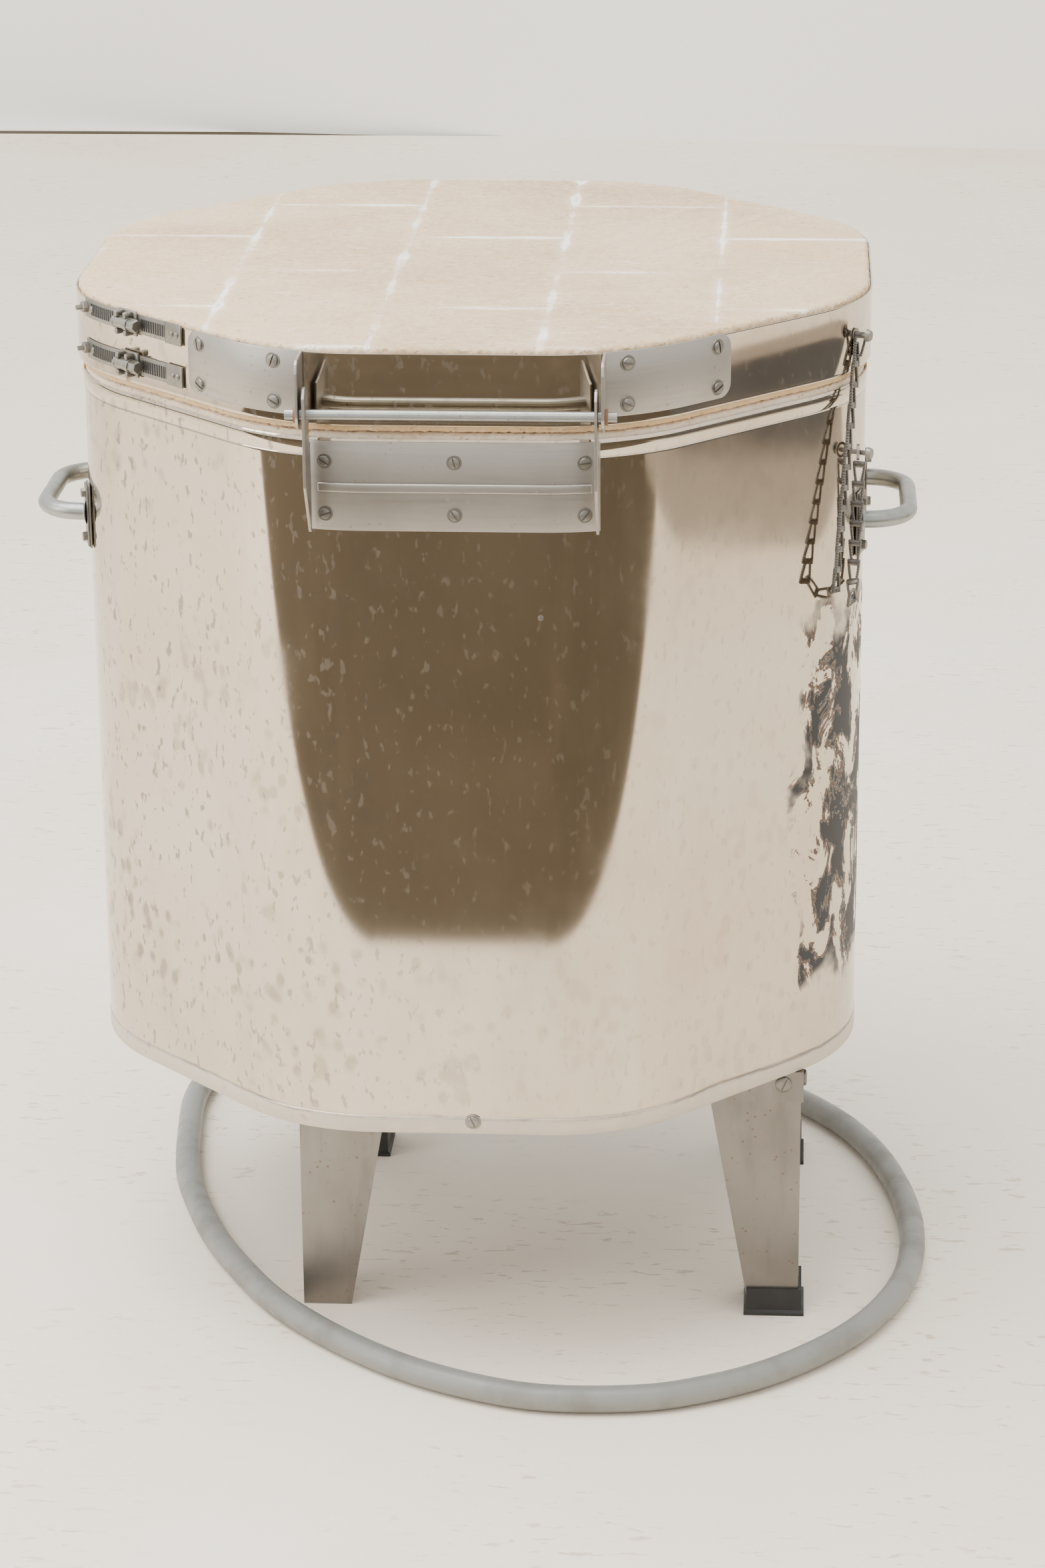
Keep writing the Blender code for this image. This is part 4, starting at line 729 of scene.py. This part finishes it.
def clamp(word, z):
    """One clamp with its strap's middle at height z."""
    strap = bend(slab((-0.3305, 0.0003, z - 0.0070), (-0.2110, 0.0011, z + 0.0070), 0.0003, 2, 30),
                 BAND_HALF)
    lug = slab((-0.2290, 0.0010, z - 0.0076), (-0.2110, 0.0020, z + 0.0076), 0.0004, 2, 8)
    gather(strap, bend(lug, BAND_HALF))
    # the housing is a saddle folded round the worm, with two ribbed cheeks
    at, normal = skin(BAND_HALF, -0.2705, 0.0011)
    out = Vector((math.cos(normal), math.sin(normal), 0))
    along = Vector((-out.y, out.x, 0))
    lie = Matrix((along, out, Vector((0, 0, 1)))).transposed().to_4x4()
    lie = Matrix.Translation(at + Vector((0, 0, z))) @ lie
    gather(strap, slab((-0.0100, 0.0, -0.0088), (0.0100, 0.0020, 0.0088), 0.0006), lie)
    for rib in (-0.0070, 0.0030):
        for low in (0.0042, -0.0084):
            cheek = slab((rib, 0.0012, low), (rib + 0.0035, 0.0085, low + 0.0042), 0.0010)
            gather(strap, cheek, lie)
    strap = make(f"{word}_clamp_strap", strap, screw_metal, "lid")
    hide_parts(f"{word}_clamp")
    # the worm's thread bites in slots on both sides of the housing, drawn as thin dark strips of
    # painted shade
    slots = bmesh.new()
    for first, pitch, count in ((-0.2560, 0.0026, 11), (-0.2850, -0.0026, 14)):
        for run in (first + pitch * step for step in range(count)):
            gather(slots, bend(slab((run - 0.0007, 0.0010, z - 0.0042),
                                    (run + 0.0007, 0.0013, z + 0.0042)), BAND_HALF))
    make(f"{word}_clamp_slot_shade", slots, shadow, "lid")
    # rivets hold the lug, and a stud with a tall nut holds the strap to the band
    studs = bmesh.new()
    rivet = turned([(0, 0), (0.0024, 0), (0.0022, 0.0008), (0.0012, 0.0014), (0, 0.0016)], 20)
    nut = turned([(0, 0), (0.0042, 0), (0.0042, 0.0030), (0.0036, 0.0036), (0.0018, 0.0038),
                  (0.0018, 0.0075), (0, 0.0080)], 6)
    for run, shape in ((-0.2160, rivet), (-0.2215, rivet), (-0.3290, nut), (-0.3190, rivet)):
        foot, facing = skin(BAND_HALF, run, 0.0018 if run > -0.3 else 0.0011)
        gather(studs, shape, aim(foot + Vector((0, 0, z)),
                                 (math.cos(facing), math.sin(facing), 0)))
    make(f"{word}_clamp_studs", studs, screw_metal, "lid")
    # the worm: a barrel between the cheeks, a collar, and a hex head beyond them
    barrel = turned([(0, -0.0095), (0.0036, -0.0095), (0.0044, -0.0088), (0.0044, -0.0070),
                     (0.0040, -0.0066), (0.0040, 0.0040), (0.0046, 0.0044), (0.0046, 0.0078),
                     (0.0040, 0.0082), (0, 0.0082)], 32)
    collar = turned([(0, 0.0084), (0.0050, 0.0084), (0.0050, 0.0088), (0, 0.0088)], 24)
    hexagon = turned([(0, 0.0088), (0.0047, 0.0088), (0.0047, 0.0150), (0.0040, 0.0160),
                      (0, 0.0162)], 6)
    worm = bmesh.new()
    stand = aim(lie @ Vector((0, 0.0058, 0)), along)
    for part in (barrel, collar, hexagon):
        gather(worm, part, stand)
    worm = make(f"{word}_clamp_worm", worm, screw_metal, f"{word}_clamp_bolt", 25.0)
    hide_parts(f"{word}_clamp_screw")


clamp("upper", 0.7575)
clamp("lower", 0.7282)


# ------------------------------------------------------------------ carrying handles
# Bent galvanised tubes, flared at their ends, on double plates with two hex-headed bolts each.
# One end stands on the side facet and the other on the corner next to it.
def hoop_path(first, last, way, reach, radius, steps=10):
    """Out from one end, across with two bends, and back to the other."""
    first, last, way = Vector(first), Vector(last), Vector(way).normalized()
    across = (last - first).normalized()
    path = [first + way * reach * i / 4 * (1 - radius / reach) for i in range(4)]
    for corner, a, b in ((first + way * reach, -way, across), (last + way * reach, -across, -way)):
        centre = corner + (a + b) * radius
        for step in range(steps + 1):
            angle = math.pi / 2 * step / steps
            path.append(centre - b * radius * math.cos(angle) - a * radius * math.sin(angle))
    path += [last + way * reach * i / 4 * (1 - radius / reach) for i in (3, 2, 1, 0)]
    return path


NEAR_Y, FAR_Y, HANDLE_Z = -0.0950, 0.0200, 0.5990
HANDLE_REACH, HANDLE_BEND = 0.3132, 0.030
PLATES_T = 0.0030
flat_half = 0.0605
corner_x = 0.146 + math.sqrt(CORNER_R ** 2 - (abs(NEAR_Y) - flat_half) ** 2)
near_x = corner_x + PLATES_T
hex_bolt = turned([(0, 0), (0.0036, 0), (0.0036, 0.0028), (0.0030, 0.0032), (0, 0.0033)], 6)
for side, word in ((-1, "left"), (1, "right")):
    path = hoop_path((near_x, NEAR_Y, HANDLE_Z), (near_x, FAR_Y, HANDLE_Z), (1, 0, 0),
                     HANDLE_REACH - near_x, HANDLE_BEND)
    path[-1] = Vector((JACKET_HALF + PLATES_T, FAR_Y, HANDLE_Z))
    radii = [1.45, 1.05] + [1.0] * (len(path) - 4) + [1.05, 1.45]
    path = [Vector((p.x * side, p.y, p.z)) for p in path]
    bar = tube(f"{word}_handle_tube", path, 0.00625, zinc, "kiln_body", radii)
    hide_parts(f"{word}_handle")
    fittings = bmesh.new()
    for x, y, tilt in ((corner_x, NEAR_Y, -0.2585), (JACKET_HALF, FAR_Y, 0.0)):
        facing = Vector((math.cos(tilt), math.sin(tilt), 0))
        stand = aim(Vector((x, y, HANDLE_Z - 0.002)) + facing * 0.0003, facing, (0, 0, 1))
        gather(fittings, slab((-0.0235, -0.0085, 0.0), (0.0235, 0.0085, 0.0016), 0.0007), stand)
        gather(fittings, slab((-0.0225, -0.0080, 0.0016), (0.0225, 0.0080, PLATES_T), 0.0006),
               stand)
        for lift in (-0.0165, 0.0165):
            gather(fittings, hex_bolt, stand @ Matrix.Translation((lift, 0, PLATES_T)))
    bmesh.ops.scale(fittings, verts=fittings.verts, vec=(side, 1, 1))
    make(f"{word}_handle_plates", fittings, screw_metal, "kiln_body")


# ------------------------------------------------------------------ stand
# Tapered legs of folded sheet on a frame under the base pan, and rubber boots on three of them.
# The CAD shapes stay, with their edges eased.
leg_metal = metal("leg_sheet", (0.27, 0.25, 0.225), (0.16, 0.145, 0.125), 0.42, (1.0, 1.0, 0.2),
                  0.8)
rubber = matt("black_rubber", (0.012, 0.012, 0.012), (0.06, 0.052, 0.045), 0.55, amount=0.25)
for paint, ease, nodes in ((leg_metal, 0.0004, ("stand_frame", "base_pan", "near_left_leg",
                                                "near_right_leg", "far_left_leg",
                                                "far_right_leg")),
                           (rubber, 0.0012, ("near_right_boot", "far_left_boot",
                                             "far_right_boot"))):
    for node in nodes:
        eased = finish(node, paint).modifiers.new("eased", "BEVEL")
        eased.width = ease
        eased.segments = 2
BOLT_Z = 0.187
leg_bolts = bmesh.new()
leg_bolt_head = slotted_head(0.0060, 0.0026)
for x, y, way, slot in ((0.229, -0.1596, (0, -1, 0), 65.9), (0.2437, -0.146, (1, 0, 0), 50.7),
                        (-0.116, -0.1596, (0, -1, 0), 329.6)):
    spin = Matrix.Rotation(math.radians(slot), 4, "Z")
    gather(leg_bolts, leg_bolt_head, aim(Vector((x, y, BOLT_Z)), way, (0, 0, 1)) @ spin)
make("leg_bolts", leg_bolts, screw_metal, "kiln_body", 40.0)


# ------------------------------------------------------------------ chain and its anchors
# Stamped sash links: two rails that narrow to a neck, and a folded strap that takes the next
# link. The chain hangs from the jacket in a loop and rises to a hook on the lid's anchor.
def link_mesh(pitch):
    """One link along -Z from its pivot, its face towards X and its rails apart along Y."""
    bm = bmesh.new()
    length = pitch + 0.0028
    steps = 9
    for sign in (-1, 1):
        for i in range(steps):
            t0, t1 = i / steps, (i + 1) / steps
            a, b = (Vector((0.0004, sign * (0.0038 - 0.0020 * t ** 1.6), 0.0014 - length * t))
                    for t in (t0, t1))
            rail = slab((-0.0012, -0.0009, 0), (0.0012, 0.0009, (b - a).length * 1.08), 0.0004, 1)
            gather(bm, rail, aim(a, b - a, (1, 0, 0)))
    gather(bm, slab((-0.0013, -0.0042, -0.0030), (0.0013, 0.0042, 0.0016), 0.0009))
    gather(bm, slab((-0.0009, -0.0022, 0.0008 - length), (0.0012, 0.0022, 0.0030 - length), 0.0007))
    return bm


chain_metal = metal("chain_steel", (0.19, 0.18, 0.165), (0.07, 0.065, 0.06), 0.36, scale=300.0)
LINK_PITCH = 0.0144
CHAIN_X = 0.27497
link = link_mesh(LINK_PITCH)
# each strand: where its first link starts, and each link's lean from hanging straight down
strands = [((-0.12061, 0.6471), (0.0,) * 6), ((-0.12061, 0.5607), (52.2,)),
           ((-0.13199, 0.55187), (94.0, 138.0)),
           ((-0.15787, 0.5645), (187.5, 188.5, 189.5, 190.5, 191.5, 192.5, 193.0, 193.5, 194.0,
                                 195.0, 195.5, 196.0))]
placed = 0
for number, (start, leans) in enumerate(strands, start=1):
    strand, joint = bmesh.new(), Vector((CHAIN_X, *start))
    for lean in map(math.radians, leans):
        # the first links face outwards, and those up to the lid are nearly edge-on
        way = Vector((0, -math.sin(lean), -math.cos(lean)))
        if placed < 9:
            drift, twist = 0.0010 - 0.0045 * placed / 9, 74.0 if placed < 7 else 45.0
        else:
            drift, twist = -0.0030 - 0.0115 * (20 - placed) / 11, 22.0 + 9.0 * (placed % 2)
        stand = aim(joint + Vector((drift, 0, 0)), -way, (1, 0, 0))
        gather(strand, link, stand @ Matrix.Rotation(math.radians(twist), 4, "Z"))
        joint = joint + way * LINK_PITCH
        placed += 1
    strand = make(f"chain_links_{number}", strand, chain_metal, f"chain_{number}", 35.0)
    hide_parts(f"chain_run_{number}")
hook = bmesh.new()
gather(hook, link, aim(Vector((0.2752, -0.1215, 0.7405)), (0.1, 0, 1), (0, 1, 0)))
make("lid_chain_hook", hook, chain_metal, "lid")
for node in ("body_chain_anchor", "lid_chain_anchor", "chain_eye"):
    finish(node, screw_metal)


# ------------------------------------------------------------------ lid handle
# A black dipped hoop on the far side of the band, opposite the hinge, to lift the lid by.
path = hoop_path((-0.055, 0.2842, 0.7367), (0.055, 0.2842, 0.7367), (0, 1, 0), 0.034, 0.018)
grip = tube("lid_handle_bar", path, 0.005, plastic, "lid",
            [1.5, 1.1] + [1.0] * (len(path) - 4) + [1.1, 1.5])
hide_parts("lid_handle")


# ------------------------------------------------------------------ control box
# A grey enamelled steel box with vents in its cover, a pilot lamp, and a fluted knob on each of
# the three rotary switches.
enamel = matt("grey_enamel", (0.30, 0.32, 0.33), (0.20, 0.21, 0.21), 0.40, 18.0, 0.5, 0.12)
clay = matt("fired_clay", (0.72, 0.64, 0.52), (0.55, 0.42, 0.30), 0.85, 90.0)
lens = matt("red_lens", (0.50, 0.02, 0.015), (0.30, 0.01, 0.01), 0.12)
for node, paint in (("control_box", enamel), ("control_box_cover", enamel),
                    ("terminal_block", clay), ("pilot_lamp", lens)):
    finish(node, paint)
# the vents are thin dark strips of painted shade on the cover
vents = bmesh.new()
for row in range(6):
    z = 0.2990 + 0.0075 * row
    gather(vents, slab((-0.045, 0.3635, z), (0.045, 0.3642, z + 0.0025), 0.0003, 1))
make("box_vent_shade", vents, shadow, "kiln_body")
cover_screws = bmesh.new()
for x in (-0.110, 0.110):
    for z in (0.290, 0.598):
        gather(cover_screws, slotted_head(0.0036, 0.0020), aim(Vector((x, 0.3628, z)), (0, 1, 0)))
make("cover_screws", cover_screws, screw_metal, "kiln_body", 40.0)
FLUTES, FLUTE_DEPTH = 12, 0.05
for word, z in (("lower", 0.369), ("middle", 0.444), ("upper", 0.519)):
    knob = turned([(0, 0), (0.0190, 0), (0.0190, 0.0045), (0.0178, 0.0060), (0.0145, 0.0068),
                   (0.0138, 0.0180), (0.0126, 0.0198), (0, 0.0200)], 48)
    for vert in knob.verts:
        if vert.co.z > 0.0065 and vert.co.xy.length > 0.012:
            angle = math.atan2(vert.co.y, vert.co.x)
            vert.co.xy *= 1.0 - FLUTE_DEPTH * (0.5 + 0.5 * math.cos(FLUTES * angle))
    gather(knob, slab((-0.0010, 0.002, 0.0196), (0.0010, 0.0125, 0.0201), 0.0002, 1))
    grip = bmesh.new()
    gather(grip, knob, aim(Vector((0, 0.3631, z)), (0, 1, 0), (1, 0, 0)))
    grip = make(f"{word}_knob_grip", grip, plastic, f"{word}_knob", 30.0)
    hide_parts(f"{word}_switch_knob")


# ------------------------------------------------------------------ peephole plugs
# Tapered plugs of fired clay, one above the other. Each closes a spyhole through the wall.
finish("lower_peephole_plug", clay)
finish("upper_peephole_plug", clay)


# ------------------------------------------------------------------ studio
# A pale cream floor that ends at a low pale wall behind, with dark ground and two dark cards out
# of view, which the polished jacket mirrors.
def card(name, low, high, paint, level_z=0.0):
    """A flat sheet on the floor between two corners."""
    mesh = bpy.data.meshes.new(name)
    bm = bmesh.new()
    bmesh.ops.create_grid(bm, x_segments=1, y_segments=1, size=0.5)
    bmesh.ops.scale(bm, verts=bm.verts, vec=(high[0] - low[0], high[1] - low[1], 1))
    middle = ((low[0] + high[0]) / 2, (low[1] + high[1]) / 2, level_z)
    bmesh.ops.translate(bm, verts=bm.verts, vec=middle)
    bm.to_mesh(mesh)
    bm.free()
    mesh.materials.append(paint.material)
    made = bpy.data.objects.new(name, mesh)
    bpy.context.scene.collection.objects.link(made)
    return made


floor_paint = Paint("cream_floor", (0.93, 0.85, 0.73), 0.8)
worn = floor_paint.noise(1.3, 6.0, 0.6)
fleck = floor_paint.noise(95.0, 3.0, 0.6, floor_paint.stretch(0.45, 1.5, 1.0), 0.6)
fleck = floor_paint.times(floor_paint.fit(fleck, 0.60, 0.66),
                          floor_paint.fit(floor_paint.noise(4.0, 3.0), 0.38, 0.60))
tone = floor_paint.mix(floor_paint.fit(worn, 0.35, 0.70), (0.95, 0.88, 0.77), (0.88, 0.78, 0.65))
tone = floor_paint.mix(floor_paint.times(fleck, 0.6), tone, (0.50, 0.38, 0.27))
floor_paint.colour(tone)
floor_paint.bump(floor_paint.noise(45.0, 5.0), 0.15, 0.002)
card("floor", (-6.0, -1.18), (6.0, 4.45), floor_paint)
ground_paint = matt("dark_ground", (0.100, 0.082, 0.060), (0.145, 0.120, 0.090), 0.8, 2.0)
ground_paint.put(ground_paint.shader, {"Specular IOR Level": 0.0})
card("ground", (-9.0, -9.0), (9.0, 4.5), ground_paint, -0.004)
verge_paint = matt("brown_verge", (0.34, 0.29, 0.235), (0.27, 0.23, 0.18), 0.9, 3.0)
card("verge", (2.30, -1.6), (2.72, 1.2), verge_paint, 0.003)
shade_paint = matt("dark_verge", (0.050, 0.048, 0.050), (0.09, 0.085, 0.08), 0.9, 3.0)
card("shade", (2.72, -1.6), (5.9, 1.2), shade_paint, 0.003)
wall_paint = matt("pale_wall", (0.93, 0.91, 0.86), (0.90, 0.87, 0.81), 0.9, 1.2)
wall = card("wall", (-6.5, -0.05), (6.5, 0.60), wall_paint)
wall.matrix_world = (Matrix.Translation((0, 4.42, 0)) @ Matrix.Rotation(math.radians(-6.0), 4, "Z")
                     @ Matrix.Rotation(math.radians(90), 4, "X"))

# soft daylight from the left and above, as through the open front of a workshop
world = bpy.data.worlds.new("soft_daylight")
bpy.context.scene.world = world
world.use_nodes = True
sky = world.node_tree.nodes["Background"].inputs
sky["Color"].default_value = (1.0, 0.975, 0.93, 1.0)
sky["Strength"].default_value = 1.7
for name, at, target, size, power in (("sky_panel", (-1.2, -0.6, 3.6), (0, 0, 0.2), 3.0, 190.0),
                                      ("side_panel", (-3.4, -1.5, 1.6), (0, 0, 0.4), 1.6, 45.0)):
    lamp = bpy.data.lights.new(name, "AREA")
    lamp.size = size
    lamp.energy = power
    panel = bpy.data.objects.new(name, lamp)
    bpy.context.scene.collection.objects.link(panel)
    panel.location = at
    panel.rotation_euler = (Vector(target) - Vector(at)).to_track_quat("-Z", "Y").to_euler()
